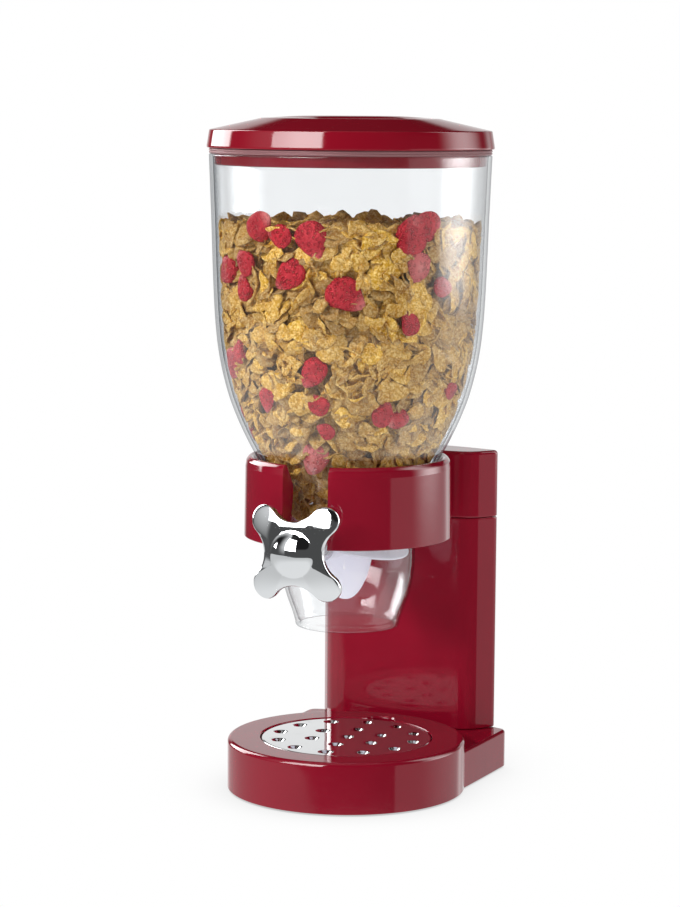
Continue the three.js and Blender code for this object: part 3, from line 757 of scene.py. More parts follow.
# ---------------------------------------------------------------- paddle wheel
BLADES = 5
BLADE_R = 37.2
BLADE_ROOT_R = 8.2
BLADE_ROOT_HALF = 31.5      # half the blade's length where it meets the hub
BLADE_CURL = 0.5            # how far the tip leaves the blade's plane
FIRST_BLADE = math.radians(-88.5)
HUB_R, HUB_HALF = 9.8, 33.5


def blade(angle):
    """Half disc standing off the hub, thinner to its edge, swept a little out of its plane."""
    spans = 56
    rows = [i / 14 * 0.93 for i in range(15)] + [0.955, 0.975, 0.991]     # root 0 to edge 1
    ca, sa = math.cos(angle), math.sin(angle)
    verts, faces = [], []
    for side in (1, -1):
        for s in rows:
            half = 1.15 - 0.35 * s
            if s > 0.93:
                half *= math.sqrt(max(0.0, 1 - ((s - 0.93) / 0.0701) ** 2))
            for k in range(spans + 1):
                turn = -pi / 2 + pi * (k / spans)
                root_y = BLADE_ROOT_HALF * math.sin(turn)
                r = max(BLADE_ROOT_R + (BLADE_R * math.cos(turn) - BLADE_ROOT_R) * s, 0.0)
                y = root_y + (BLADE_R * math.sin(turn) - root_y) * s
                q = max(0.0, r - 9.0) / (BLADE_R - 9.0)
                h = BLADE_CURL * q * q + side * max(half, 0.12)
                verts.append((r * ca - h * sa, y, SHAFT_Z + r * sa + h * ca))
    width, last = spans + 1, len(rows) - 1
    back = len(rows) * width
    for face in (0, back):
        for i in range(last):
            a, b = face + i * width, face + (i + 1) * width
            faces += [(a + k, a + k + 1, b + k + 1, b + k) for k in range(spans)]
    # root and edge, then the two ends
    for k in range(spans):
        for a in (k, last * width + k):
            faces.append((a, a + 1, back + a + 1, back + a))
    for i in range(last):
        for k in (0, spans):
            a, b = i * width + k, (i + 1) * width + k
            faces.append((a, b, back + b, back + a))
    return make(TOOL, verts, faces)


def paddle_wheel():
    hub = lathe_y(densify(fillet([
        (HUB_BORE_R, -HUB_HALF, 0.4), (HUB_R, -HUB_HALF, 1.0), (HUB_R, HUB_HALF, 1.0),
        (HUB_BORE_R, HUB_HALF, 0.4)], 4, closed=True), 3.0),
        "paddle_wheel_soft", PADDLE, seg=72, closed=True)
    for k in range(BLADES):
        join(hub, blade(FIRST_BLADE + 2 * pi * k / BLADES))
    # keep the key core's bore clear
    cut(hub, lathe_y(rod(HUB_BORE_R, -45.0, 45.0), seg=72))
    return shade(hub, 45)


def hex_bar(r, y0, y1, bevel, name=TOOL, material=None):
    """Hexagonal bar along the shaft's axis; r is measured over its corners."""
    angles = [pi / 6 + k * pi / 3 for k in range(6)]
    outline = fillet([(r * math.cos(t), r * math.sin(t), 0.5) for t in angles], 4, closed=True)
    ob = sweep(outline, [
        (bevel, y0), (bevel * 0.3, y0 + bevel * 0.3), (0, y0 + bevel),
        (0, y1 - bevel), (bevel * 0.3, y1 - bevel * 0.3), (bevel, y1)], name, material)
    # lay the upright bar along Y
    co = np.array([v.co for v in ob.data.vertices])
    laid = np.stack([co[:, 0], co[:, 2], co[:, 1] + SHAFT_Z * MM], 1)
    ob.data.vertices.foreach_set("co", laid.astype(np.float32).ravel())
    bm = bmesh.new()
    bm.from_mesh(ob.data)
    bmesh.ops.recalc_face_normals(bm, faces=bm.faces)
    bm.to_mesh(ob.data)
    bm.free()
    return ob


def key_core():
    ob = lathe_y(densify(fillet([
        (0, -35.6), (6.8, -35.6, 0.5), (6.8, 35.6, 0.5), (0, 35.6)], 4), 6.0),
        "wheel_key_core", LIGHT)
    cut(ob, hex_bar(4.46, -40.0, 40.0, bevel=0.05))
    return shade(ob, 40)


fit(paddle_wheel(), "wheel", "paddle_wheel")
fit(key_core(), "wheel", "wheel_core")


# ---------------------------------------------------------------- shaft
def drive_shaft():
    """Hexagonal rod with a screw hole in its front end."""
    front = SHAFT_LO[1]
    ob = hex_bar(4.04, front, SHAFT_HI[1], bevel=0.4, name="drive_shaft_rod", material=STEEL)
    cut(ob, lathe_y([(0, front - 1), (1.4, front - 1), (1.4, -62.0), (0, -61.4)], seg=24))
    return shade(ob, 40)


fit(drive_shaft(), "knob", "drive_shaft")

# ---------------------------------------------------------------- knob
# Four round lobes joined by hollow flanks whose circles touch the lobes.
KNOB_TURN = math.radians(46.5)
KNOB_Y = -75.4
LOBE_X, LOBE_R = 26.6, 8.3          # distance of a lobe's centre from the axis, its radius
VALLEY_R = 18.4                     # knob's radius midway between lobes
LOBE_SPAN = LOBE_X * math.sqrt(2)
FLANK_R = ((LOBE_X ** 2 + VALLEY_R ** 2 - LOBE_SPAN * VALLEY_R - LOBE_R ** 2)
           / (2 * LOBE_R - 2 * VALLEY_R + LOBE_SPAN))
FLANK_X = VALLEY_R + FLANK_R
KNOB_TIP = LOBE_X + LOBE_R
DOME_H, DOME_R = 5.0, 17.6          # spherical cap at the knob's middle
DOME_BLEND = 1.6
KNOB_WALL = 1.5


def knob_radius(a):
    """Distance of the outline from the axis at angle a from a lobe."""
    a = abs((a + pi / 4) % (pi / 2) - pi / 4)
    c = math.cos(a)
    root = (LOBE_X * c) ** 2 - (LOBE_X ** 2 - LOBE_R ** 2)
    lobe = LOBE_X * c + math.sqrt(root) if root > 0 else 0.0
    b = pi / 4 - a
    root = (FLANK_X * math.cos(b)) ** 2 - (FLANK_X ** 2 - FLANK_R ** 2)
    flank = FLANK_X * math.cos(b) - math.sqrt(root) if root > 0 else 1e9
    # angle of the point where the two circles touch
    end = math.atan2(FLANK_X * math.sin(pi / 4), FLANK_X * math.cos(pi / 4) - LOBE_X)
    touch = math.atan2(LOBE_R * math.sin(end), LOBE_X + LOBE_R * math.cos(end))
    return lobe if a < touch else flank


def knob_front(r, s):
    """Y of the front face at radius r, s being the share of the way to the outline."""
    sweepback = 4.7 * max(0.0, (r - 8.0) / (KNOB_TIP - 8.0)) ** 2.0
    cap = DOME_H - (DOME_R - math.sqrt(max(0.0, DOME_R ** 2 - min(r, 17.5) ** 2)))
    h = max(0.0, min(1.0, 0.5 + 0.5 * cap / DOME_BLEND))
    dome = cap * h + DOME_BLEND * h * (1 - h)
    crown = 0.45 * (1 - s ** 4)
    edge = 0.0
    edge_start = 0.93
    if s > edge_start:
        q = (s - edge_start) / (1 - edge_start)
        edge = 1.1 * (1 - math.sqrt(max(0.0, 1 - q * q)))
    return KNOB_Y + 0.1 + sweepback - dome - crown + edge


def knob_cap():
    around, rings_out = 320, 54
    outline = [knob_radius(2 * pi * k / around) for k in range(around)]
    verts, rings = [], []

    def ring(radii, depths):
        start = len(verts)
        for k, (r, y) in enumerate(zip(radii, depths)):
            a = 2 * pi * k / around + KNOB_TURN
            verts.append((r * math.cos(a), y, SHAFT_Z + r * math.sin(a)))
        rings.append(range(start, len(verts)))

    ring([0], [knob_front(0, 0)])
    for i in range(1, rings_out + 1):
        s = 1 - (1 - i / rings_out) ** 1.35         # crowds the rings at the rim
        ring([s * r for r in outline], [knob_front(s * r, s) for r in outline])
    edge_y = [knob_front(r, 1.0) for r in outline]
    # rim side (step back, step in), then the hollow back
    for back, inwards in ((0.8, 0.0), (1.8, 0.0), (2.5, 0.1), (2.9, 0.5), (2.9, 1.3), (2.2, 1.7)):
        ring([r - inwards for r in outline], [y + back for y in edge_y])
    for s in (0.88, 0.8, 0.7, 0.6, 0.5, 0.4, 0.3, 0.2, 0.1):
        ring([s * r for r in outline], [knob_front(s * r, s) + KNOB_WALL for r in outline])
    ring([0], [knob_front(0, 0) + KNOB_WALL])
    return make("knob_chrome_cap", verts, ring_faces(rings), CHROME, 60)


def knob_insert():
    """Hub behind the cap: a hexagonal socket at the rear, a stepped screw hole at the front."""
    ob = lathe_y(fillet([
        (0, -74.2), (9.2, -74.2, 0.5), (9.2, -69.0, 2.0), (8.2, -65.7, 0.8), (0, -65.7)], 5),
        "knob_insert_hub", LIGHT)
    cut(ob, hex_bar(4.44, -71.6, -60.0, bevel=0.02))
    cut(ob, lathe_y([
        (0, -76.0), (3.4, -76.0), (3.4, -72.6), (1.6, -72.6), (1.6, -71.0), (0, -71.0)], seg=32))
    return shade(ob, 40)


def knob_screw():
    return lathe_y(fillet([
        (0, -74.1), (2.0, -74.1, 0.8), (3.0, -73.5, 0.4), (3.0, -72.9, 0.1), (1.05, -72.9, 0.2),
        (1.05, -65.0, 0.1), (0, -64.0)], 4), "knob_screw_pan", STEEL, seg=32)


fit(knob_cap(), "knob", "knob_shell")
fit(knob_insert(), "knob", "knob_insert")
fit(knob_screw(), "knob", "knob_screw")

# ---------------------------------------------------------------- column
# (x, y) of the right halves, from the front to the rear
COLUMN = symmetric_outline([
    (36.0, 75.0), (40.8, 75.5), (46.2, 77.6), (50.4, 81.4), (53.6, 86.2), (57.4, 92.0),
    (57.3, 94.3), (55.0, 95.9), (40.0, 99.8), (30.0, 101.7), (21.0, 103.1), (7.0, 104.4)],
    step=1.1, sigma=1.2)
BLOCK = symmetric_outline([
    (65.6, 20.0), (66.1, 45.0), (66.3, 60.0), (66.6, 88.8), (64.8, 91.8), (50.0, 96.9),
    (30.0, 101.7), (10.0, 104.2)], step=1.4, sigma=1.4)


def column():
    wall = 2.6
    low, high = COLUMN_BASE, COLUMN_TOP
    # (inset, z): up the outside with eased edges, down the inside
    ob = sweep(COLUMN, [
        (1.0, low), (0.35, low + 0.12), (0.05, low + 0.5), (0, low + 1.2), (0, high - 1.0),
        (0.12, high - 0.42), (0.45, high - 0.08), (0.9, high), (wall, high), (wall, low)],
        "column_shell", RED, loop=True)
    join(ob, prism(COLUMN, 2.4, 140.6, 143.2))
    for x, y in COLUMN_SCREWS:
        join(ob, cylinder(4.6, low + 0.01, 48, (x, 81.0), seg=32))
        cut(ob, cylinder(PILOT_R, low - 1, 40, (x, y), seg=20))
    for at in HEAD_SCREWS:
        cut(ob, cylinder(CLEARANCE_R, 139, 145, at, seg=20))
    return weight_normals(shade(ob, 40))


fit(column(), "stand", "column_housing")

# ---------------------------------------------------------------- head: collar and rear housing
SLOT_HALF = 14.2            # half the width of the collar's front opening
COLLAR_OUT_R = 59.2         # where the bridge reaches into the collar


def collar():
    """Double-walled ring, open at the front; its ends lie in the planes of the slot."""
    seg = 150
    # (r, z, fillet)
    section = fillet([
        (60.9, 150.8, 0.6), (60.3, 192.0, 3.0), (59.7, 195.8, 2.2), (58.2, 197.6, 1.6),
        (56.9, COLLAR_TOP, 1.2), (55.6, 197.5, 1.0), (54.7, 196.2, 1.5), (51.4, 192.0, 3.0),
        (47.1, 184.8, 2.0), (47.1, 178.0, 0.8), (49.6, 178.0, 0.8), (49.6, 184.2, 1.0),
        (57.6, 193.6, 1.5), (58.3, 150.8, 0.4)], 5, closed=True)
    verts = []
    for k in range(seg + 1):
        for r, z in section:
            half = math.asin(SLOT_HALF / r)
            a = -pi / 2 + half + (2 * pi - 2 * half) * k / seg
            verts.append((r * math.cos(a), r * math.sin(a), z))
    rings = even_rings(seg + 1, len(section))
    faces = ring_faces(rings) + [tuple(rings[0]), tuple(rings[-1])]
    return make("head_shell", verts, faces, RED)


def cheek(side):
    """Flat wall that closes the collar's double wall beside the slot."""
    # (r, z)
    section = [
        (47.25, 178.3), (47.25, 184.8), (51.4, 191.8), (55.2, 196.4), (57.0, 197.3),
        (59.2, 195.3), (60.0, 191.0), (60.55, 151.0), (52.8, 150.9), (51.4, 158.0),
        (50.0, 166.0), (48.2, 172.0)]
    verts = []
    for thickness in (0.0, 2.6):
        x = SLOT_HALF + 0.02 + thickness
        verts += [(side * x, -math.sqrt(r * r - x * x), z) for r, z in section]
    rings = even_rings(2, len(section))
    return make(TOOL, verts, [tuple(ring) for ring in rings] + ring_faces(rings))


def rear_housing():
    """Hollow continuation of the column, with a spigot below it."""
    top = HEAD_TOP
    ob = sweep(COLUMN, [
        (0.9, SEAM_Z), (0.45, SEAM_Z + 0.08), (0.12, SEAM_Z + 0.42), (0, SEAM_Z + 1.0),
        (0, top - 2.2), (0.17, top - 1.36), (0.65, top - 0.65), (1.36, top - 0.17), (2.2, top)])
    cut(ob, prism(COLUMN, 3.2, SEAM_Z - 1, top - 2.8))
    spigot = cut(prism(COLUMN, 2.95, 146.0, 160.0), prism(COLUMN, 4.6, 145.0, 161.0))
    return join(ob, spigot)


def bridge():
    """Hollow block between the collar and the rear housing."""
    top = HEAD_TOP
    angles = [math.radians(t) for t in np.linspace(-30.45, 30.45, 25)]
    outline = [(COLLAR_OUT_R * math.sin(t), COLLAR_OUT_R * math.cos(t)) for t in angles]
    ob = sweep(outline + [(30.0, 76.2), (-30.0, 76.2)], [
        (0.6, SEAM_Z + 0.02), (0, SEAM_Z + 0.6), (0, top - 2.2), (0.17, top - 1.38),
        (0.65, top - 0.67), (1.36, top - 0.19), (2.2, top - 0.02)])
    return cut(ob, box(-27.4, 27.4, 61.5, 74.6, SEAM_Z - 1, top - 2.8))


def head():
    ob = collar()
    join(ob, join(rear_housing(), bridge()))
    join(ob, cheek(-1), cheek(1))
    for at in HEAD_SCREWS:
        join(ob, cylinder(4.4, 143.5, HEAD_TOP - 1.5, at, seg=32))
        cut(ob, cylinder(PILOT_R, 142.0, 160.0, at, seg=20))
    return weight_normals(shade(ob, 35))


fit(head(), "stand", "head_housing")

# ---------------------------------------------------------------- base
POCKET_R, POCKET_Z = 51.0, 24.6         # recess for the drip tray
BASE_WALL = 2.6
NOTCH_Y = 50.0                          # round dip at the pocket's rear edge
BLOCK_CEILING = 19.8                    # underside of the rear block's top


def base():
    """Round base with the tray's pocket, joined to the block under the column."""
    # (r, z, fillet): pocket floor, rim, outer wall, then back along the underside
    ob = lathe(densify(fillet([
        (0, POCKET_Z), (POCKET_R, POCKET_Z, 0.8), (POCKET_R, BASE_TOP, 0.7),
        (BASE_R, BASE_TOP, 2.6), (BASE_R, 0.0, 0.6), (BASE_R - BASE_WALL, 0.0, 0.4),
        (BASE_R - BASE_WALL, 27.0, 1.5), (53.6, 27.3, 0.6), (53.6, 22.2, 0.8), (0, 22.2)], 7),
        5.0), "base_moulding", RED, seg=192)
    cut(ob, lathe(fillet([
        (0, POCKET_Z + 1.2), (8.6, POCKET_Z + 1.2, 1.6), (8.6, BASE_TOP - 1.0, 0.6),
        (9.6, BASE_TOP + 0.4), (9.6, 33.0), (0, 33.0)], 5), seg=64, at=(0, NOTCH_Y)))
    for at in PLATE_SCREWS:
        join(ob, cylinder(4.2, 3.5, 23.0, at, seg=32))
        cut(ob, cylinder(PILOT_R, 2.0, 16.0, at, seg=20))
    block = sweep(BLOCK, [
        (0.5, 0.0), (0.12, 0.15), (0, 0.6), (0, 20.6), (0.14, 21.3), (0.53, 21.88),
        (1.1, 22.27), (1.8, 22.4)])
    cut(block, prism(BLOCK, BASE_WALL, -1.0, BLOCK_CEILING),
        cylinder(BASE_R - 1.3, -2.0, 40.0, seg=192))
    # open the round wall into the block, outside the pocket
    passage = cut(prism(BLOCK, BASE_WALL, -1.0, BLOCK_CEILING),
                  cylinder(54.2, -2.0, 40.0, seg=192))
    cut(ob, passage)
    join(ob, block)
    for at in COLUMN_SCREWS:
        cut(ob, cylinder(CLEARANCE_R, 18.0, 24.0, at, seg=20))
    return weight_normals(shade(ob, 40))


def base_plate():
    gap = 2.9           # inset of the plate from the base's outside
    thick = 3.2
    ob = lathe(fillet([(0, 0), (BASE_R - gap, 0, 0.4), (BASE_R - gap, thick, 0.3), (0, thick)],
                      3), "base_plate_sheet", RED_SATIN, seg=160)
    join(ob, prism(BLOCK, gap, 0.02, 3.18))
    for at in PLATE_SCREWS:
        cut(ob, lathe([(0, -1), (4.0, -1), (4.0, 2.1), (1.8, 2.1), (1.8, 5), (0, 5)],
                      seg=40, at=at))
    for at in FOOT_RECESSES:
        cut(ob, cylinder(6.3, -1, 1.2, at, seg=40))
    for at in COLUMN_SCREWS:
        cut(ob, cylinder(5.2, -1, 5, at, seg=40))
    return shade(ob, 40)


def node_place(node):
    """Centre (x, y), bottom and top of a node's box."""
    low, high = box_mm(node)
    return ((low[0] + high[0]) / 2, (low[1] + high[1]) / 2), low[2], high[2]


def foot(node):
    at, low, high = node_place(node)
    return lathe(fillet([(0, low), (5.6, low, 0.5), (6.0, low + 0.8, 0.3), (6.0, high, 0.3),
                         (0, high)], 4), node + "_pad", RUBBER, seg=40, at=at)


def screw(node):
    """Upright screw, its domed, cross-slotted head at the bottom."""
    at, low, high = node_place(node)
    shank, thread_root = 1.45, 1.18
    under_head = low + 1.8
    profile = fillet([
        (0, low + 0.05), (2.6, low + 0.25, 1.2), (3.5, under_head - 0.5, 0.5),
        (3.5, under_head, 0.1), (shank, under_head, 0.1)], 4)
    z = under_head + 0.4
    while z < high - 1.6:
        profile += [(shank, z), (thread_root, z + 0.35), (thread_root, z + 0.55),
                    (shank, z + 0.9)]
        z += 1.1
    ob = lathe(profile + [(1.2, high - 1.2), (0, high)], node + "_pan", STEEL, seg=32, at=at)
    for half_y, half_x in ((0.45, 2.0), (2.0, 0.45)):
        cut(ob, box(at[0] - half_x, at[0] + half_x, at[1] - half_y, at[1] + half_y,
                    low - 1, low + 1.1))
    return shade(ob, 35)


CORNERS = ("front_left", "front_right", "rear_left", "rear_right")
fit(base(), "stand", "base_shell")
fit(base_plate(), "stand", "base_plate")
for corner in CORNERS:
    fit(foot("foot_" + corner), "stand", "foot_" + corner)
for node in (*("plate_screw_" + corner for corner in CORNERS), "column_screw_left",
             "column_screw_right", "head_screw_left", "head_screw_right"):
    fit(screw(node), "stand", node)

# ---------------------------------------------------------------- drip tray
TRAY_SEG, HOLE_SEG = 160, 36
SHEET_THICKNESS = 0.7
HOLE_CIRCLES = ((20.7, 37, 6), (41.0, 37.6, 12))    # radius, first hole's angle, holes


def tray():
    """Steel sheet with a turned-down rim and dished holes."""
    top = TRAY_TOP - 0.1
    centres = [(0.0, 0.0)]
    for r, first, count in HOLE_CIRCLES:
        angles = [math.radians(first + 360 // count * i) for i in range(count)]
        centres += [(r * math.cos(a), r * math.sin(a)) for a in angles]
    bm = bmesh.new()
    edges = []          # boundaries of the flat sheet

    def circle(cx, cy, r, z, seg):
        return [bm.verts.new(((cx + r * math.cos(2 * pi * k / seg)) * MM,
                              (cy + r * math.sin(2 * pi * k / seg)) * MM, z * MM))
                for k in range(seg)]

    def dish(cx, cy, seg, steps):
        """Rings [(r, z)], of which the first bounds the flat sheet."""
        previous = circle(cx, cy, *steps[0], seg)
        edges.extend(bm.edges.new((previous[k], previous[(k + 1) % seg])) for k in range(seg))
        for r, z in steps[1:]:
            ring = circle(cx, cy, r, z, seg)
            for k in range(seg):
                k2 = (k + 1) % seg
                bm.faces.new((previous[k], previous[k2], ring[k2], ring[k]))
            previous = ring

    dish(0, 0, TRAY_SEG, [
        (TRAY_R - 1.3, top), (TRAY_R - 0.75, top - 0.06), (TRAY_R - 0.3, top - 0.32),
        (TRAY_R - 0.06, top - 0.8), (TRAY_R, top - 1.4), (TRAY_R, TRAY_BASE + 0.8)])
    for cx, cy in centres:
        dish(cx, cy, HOLE_SEG, [
            (4.7, top), (4.45, top - 0.05), (4.1, top - 0.22), (3.6, top - 0.55),
            (3.1, top - 0.92), (2.7, top - 1.2), (2.4, top - 1.36), (2.2, top - 1.5)])
    bmesh.ops.triangle_fill(bm, use_beauty=True, use_dissolve=False, edges=edges)
    bmesh.ops.recalc_face_normals(bm, faces=bm.faces)
    me = bpy.data.meshes.new("drip_tray_sheet")
    bm.to_mesh(me)
    bm.free()
    ob = link_object("drip_tray_sheet", me)
    if sum(p.normal.z * p.area for p in me.polygons) < 0:
        me.flip_normals()
    solidify = ob.modifiers.new("sheet", "SOLIDIFY")
    solidify.thickness = SHEET_THICKNESS * MM
    solidify.offset = -1.0
    depsgraph = bpy.context.evaluated_depsgraph_get()
    solid = bpy.data.meshes.new_from_object(ob.evaluated_get(depsgraph))
    ob.modifiers.clear()
    ob.data = solid
    solid.materials.append(SHEET)
    return weight_normals(shade(ob, 40), weight=100)


fit(tray(), "tray", "drip_tray")

# ---------------------------------------------------------------- cereal in the canister
FILL_TOP = 334.0
WHEEL_CENTRE = np.array([0.0, 0.0, SHAFT_Z])
WHEEL_CLEAR_R = 38.3        # ball round the wheel that stays empty
FLAKES_PER_OBJECT = 560


def inner_limit(z):
    return r_in(np.clip(z, 100.0, RIM_Z))


def contain(points, margin=0.55):
    """Eases points inside the canister's wall and out of the ball the wheel sweeps."""
    r = np.hypot(points[:, 0], points[:, 1])
    r_max = inner_limit(points[:, 2]) - margin
    soft = r_max - 2.0
    eased = np.where(r > soft, r_max - 2.0 * np.exp(-np.clip(r - soft, 0, 60) / 4.0), r)
    k = eased / np.maximum(r, 1e-6)
    points = np.stack([points[:, 0] * k, points[:, 1] * k, points[:, 2]], 1)
    away = points - WHEEL_CENTRE
    q = np.linalg.norm(away, axis=1)
    soft = WHEEL_CLEAR_R + 3.0
    eased = np.where(q < soft, WHEEL_CLEAR_R + 3.0 * np.exp(
        np.clip(q - WHEEL_CLEAR_R - 3.0, -60, 0) / 3.0), q)
    points = WHEEL_CENTRE + away * (eased / np.maximum(q, 1e-6))[:, None]
    r = np.hypot(points[:, 0], points[:, 1])
    k = np.minimum(1.0, (inner_limit(points[:, 2]) - margin) / np.maximum(r, 1e-6))
    return np.stack([points[:, 0] * k, points[:, 1] * k, points[:, 2]], 1)


def flake_shape(rings, seg):
    """One toasted flake of unit size: an irregular curled disc with blisters, closed."""
    angles = np.linspace(0, 2 * pi, seg, endpoint=False)
    phase = RNG.uniform(0, 2 * pi, 6)
    swing = RNG.uniform(0.35, 1.0, 6) * np.array([0.15, 0.13, 0.08, 0.06, 0.045, 0.035])
    edge = 1 + sum(swing[i] * np.cos((i + 1.0) * angles + phase[i]) for i in range(6))
    edge *= 1 + RNG.uniform(-0.065, 0.065, seg)
    stretch = RNG.uniform(0.85, 1.25)
    points = [(0.0, 0.0)]
    for k in range(1, rings + 1):
        s = (k / rings) ** 0.9
        points += [(s * o * math.cos(a) * stretch, s * o * math.sin(a) / stretch)
                   for a, o in zip(angles, edge)]
    x, y = np.array(points).T
    twist = RNG.uniform(-1, 1, 3)[0]
    curl = RNG.uniform(0.08, 0.30) * RNG.choice([-1, 1])
    cross_curl = RNG.uniform(-0.22, 0.22)
    wave = RNG.uniform(1.6, 3.4, 4)
    shift = RNG.uniform(0, 2 * pi, 4)
    z = curl * x ** 2 + cross_curl * y ** 2 + 0.12 * twist * x * y
    # blisters, then a frilled edge
    z += 0.085 * np.sin(wave[0] * x * 1.7 + shift[0]) * np.cos(wave[1] * y * 1.7 + shift[1])
    z += 0.05 * np.sin(wave[2] * 2.6 * x + shift[2]) + 0.05 * np.cos(wave[3] * 2.6 * y + shift[3])
    r, turn = np.hypot(x, y), np.arctan2(y, x)
    z += (0.10 * np.clip(r - 0.45, 0, 1) * np.sin(5 * turn + shift[0])
          + 0.05 * np.clip(r - 0.5, 0, 1) * np.sin(8 * turn + shift[1]))
    z += RNG.uniform(-0.035, 0.035, len(z))
    half = 0.055 + 0.05 * RNG.random(len(z))
    half[-seg:] *= 0.55
    n = len(z)
    faces = []
    for k in range(seg):
        k2 = (k + 1) % seg
        faces.append((0, 1 + k, 1 + k2))
        faces.append((n, n + 1 + k2, n + 1 + k))
        for i in range(rings - 1):
            a, c = 1 + i * seg, 1 + (i + 1) * seg
            faces.append((a + k, c + k, c + k2, a + k2))
            faces.append((n + a + k, n + a + k2, n + c + k2, n + c + k))
        e = 1 + (rings - 1) * seg
        faces.append((e + k, n + e + k, n + e + k2, e + k2))
    return np.vstack([np.stack([x, y, z + half], 1), np.stack([x, y, z - half], 1)]), faces


def axes_for(normal, spin):
    """Rotation whose third axis is the normal, spun about it."""
    normal = np.array(normal, float)
    normal /= np.linalg.norm(normal)
    helper = np.array([0, 0, 1.0]) if abs(normal[2]) < 0.9 else np.array([1.0, 0, 0])
    x = np.cross(helper, normal)
    x /= np.linalg.norm(x)
    y = np.cross(normal, x)
    c, s = math.cos(spin), math.sin(spin)
    return np.stack([x * c + y * s, -x * s + y * c, normal], 1)


# (angle about the canister's axis in degrees, height, size)
BERRIES = [
    (-108.6, 334.5, 10.0), (-97.5, 329.0, 8.0), (-81.7, 326.5, 11.0), (-119.0, 313.2, 8.5),
    (-119.7, 298.5, 7.5), (-93.1, 306.9, 10.0), (-67.0, 296.0, 11.5), (-37.7, 330.2, 11.0),
    (-30.6, 335.5, 10.0), (-33.8, 311.5, 8.5), (-37.8, 281.0, 7.0), (-82.6, 252.3, 9.0),
    (-81.2, 234.5, 7.0), (-110.7, 235.2, 7.5), (-47.3, 228.8, 7.5), (-38.7, 225.5, 7.0),
    (-3.4, 240.2, 6.5), (-88.0, 201.0, 10.0), (-20.0, 300.0, 7.0), (-128.0, 262.0, 7.5),
    (-78.0, 219.0, 5.5)]
PALE_BERRIES = (9, 17)      # places in the table of pieces that show a pale middle
for _ in range(24):
    BERRIES.append((RNG.uniform(10, 225), RNG.uniform(205, 330), RNG.uniform(6.5, 10.5)))


def toned_object(name, verts, faces, tone, material, weld=False):
    """Smooth object with a "tone" value at each vertex."""
    me = bpy.data.meshes.new(name)
    me.from_pydata((np.vstack(verts) * MM).tolist(), [], faces)
    attribute = me.attributes.new("tone", "FLOAT", "POINT")
    attribute.data.foreach_set("value", np.concatenate(tone).astype(np.float32))
    if weld:
        bm = bmesh.new()
        bm.from_mesh(me)
        bmesh.ops.remove_doubles(bm, verts=bm.verts, dist=2e-5)
        bmesh.ops.recalc_face_normals(bm, faces=bm.faces)
        bm.to_mesh(me)
        bm.free()
    me.materials.append(material)
    me.polygons.foreach_set("use_smooth", [True] * len(me.polygons))
    return link_object(name, me)


def random_tone(mean, spread):
    return float(np.clip(RNG.normal(mean, spread), 0, 1))


def place_flake(shapes, centre, normal, size, tone):
    unit, faces = shapes[int(RNG.integers(len(shapes)))]
    rotation = axes_for(normal, RNG.uniform(0, 2 * pi))
    verts = (unit * size) @ rotation.T + centre
    # a flake that reaches past the wall moves inwards as a whole, so that it keeps its shape
    over = float((np.hypot(verts[:, 0], verts[:, 1]) - inner_limit(verts[:, 2]) + 0.8).max())
    if over > 0:
        go = min(over * 0.92, 7.5) / max(math.hypot(centre[0], centre[1]), 1e-6)
        verts = verts - np.array([centre[0] * go, centre[1] * go, 0.0])
    return contain(verts), faces, tone


def berry_in_the_way(layer, a, r, z):
    for angle, height, size in BERRIES:
        turn = ((math.degrees(a) - angle + 180) % 360) - 180
        room = size * 0.85 + 4.6 if layer == 0 else size * 0.6 + 2.0
        if math.hypot(math.radians(turn) * r, z - height) < room:
            return True
    return False


def side_flakes(fine, plain):
    """Three layers standing along the wall, from the wall inwards."""
    flakes = []
    # depth behind the wall, pitch, spread of the tilt
    layers = ((2.6, 11.4, 0.40), (5.2, 10.4, 0.48), (8.8, 10.0, 0.5))
    for layer, (depth, pitch, tilt) in enumerate(layers):
        z = 171.0 + layer * 2.0
        while z < FILL_TOP:
            ring_r = float(r_in(z)) - depth
            count = max(3, int(2 * pi * ring_r / pitch))
            offset = RNG.uniform(0, 2 * pi)
            for k in range(count):
                a = offset + 2 * pi * k / count + RNG.uniform(-0.35, 0.35) * pitch / ring_r
                height = min(z + RNG.uniform(-0.45, 0.45) * pitch, FILL_TOP - 5.0)
                r = float(r_in(max(height, 168.0))) - depth + RNG.uniform(-1.6, 1.2)
                if height < 190:
                    r = max(r, math.sqrt(max(0.0, 39.2 ** 2 - (height - SHAFT_Z) ** 2)))
                if layer < 2 and berry_in_the_way(layer, a, r, height):
                    continue
                normal = (np.array([math.cos(a), math.sin(a), 0.10])
                          + RNG.normal(0, tilt, 3))
                if layer == 0:
                    size = 4.7 + 5.0 * RNG.uniform(0, 1) ** 1.5
                else:
                    size = RNG.uniform(5.6, 8.8)
                # painted shade: the tone falls with each layer further from the wall, so the deeper
                # flakes are darker
                tone = random_tone(0.62 - 0.14 * layer, 0.22)
                centre = np.array([r * math.cos(a), r * math.sin(a), height])
                shapes = fine if layer < 2 else plain
                flakes.append(place_flake(shapes, centre, normal, size, tone))
            z += pitch * 0.86
    return flakes


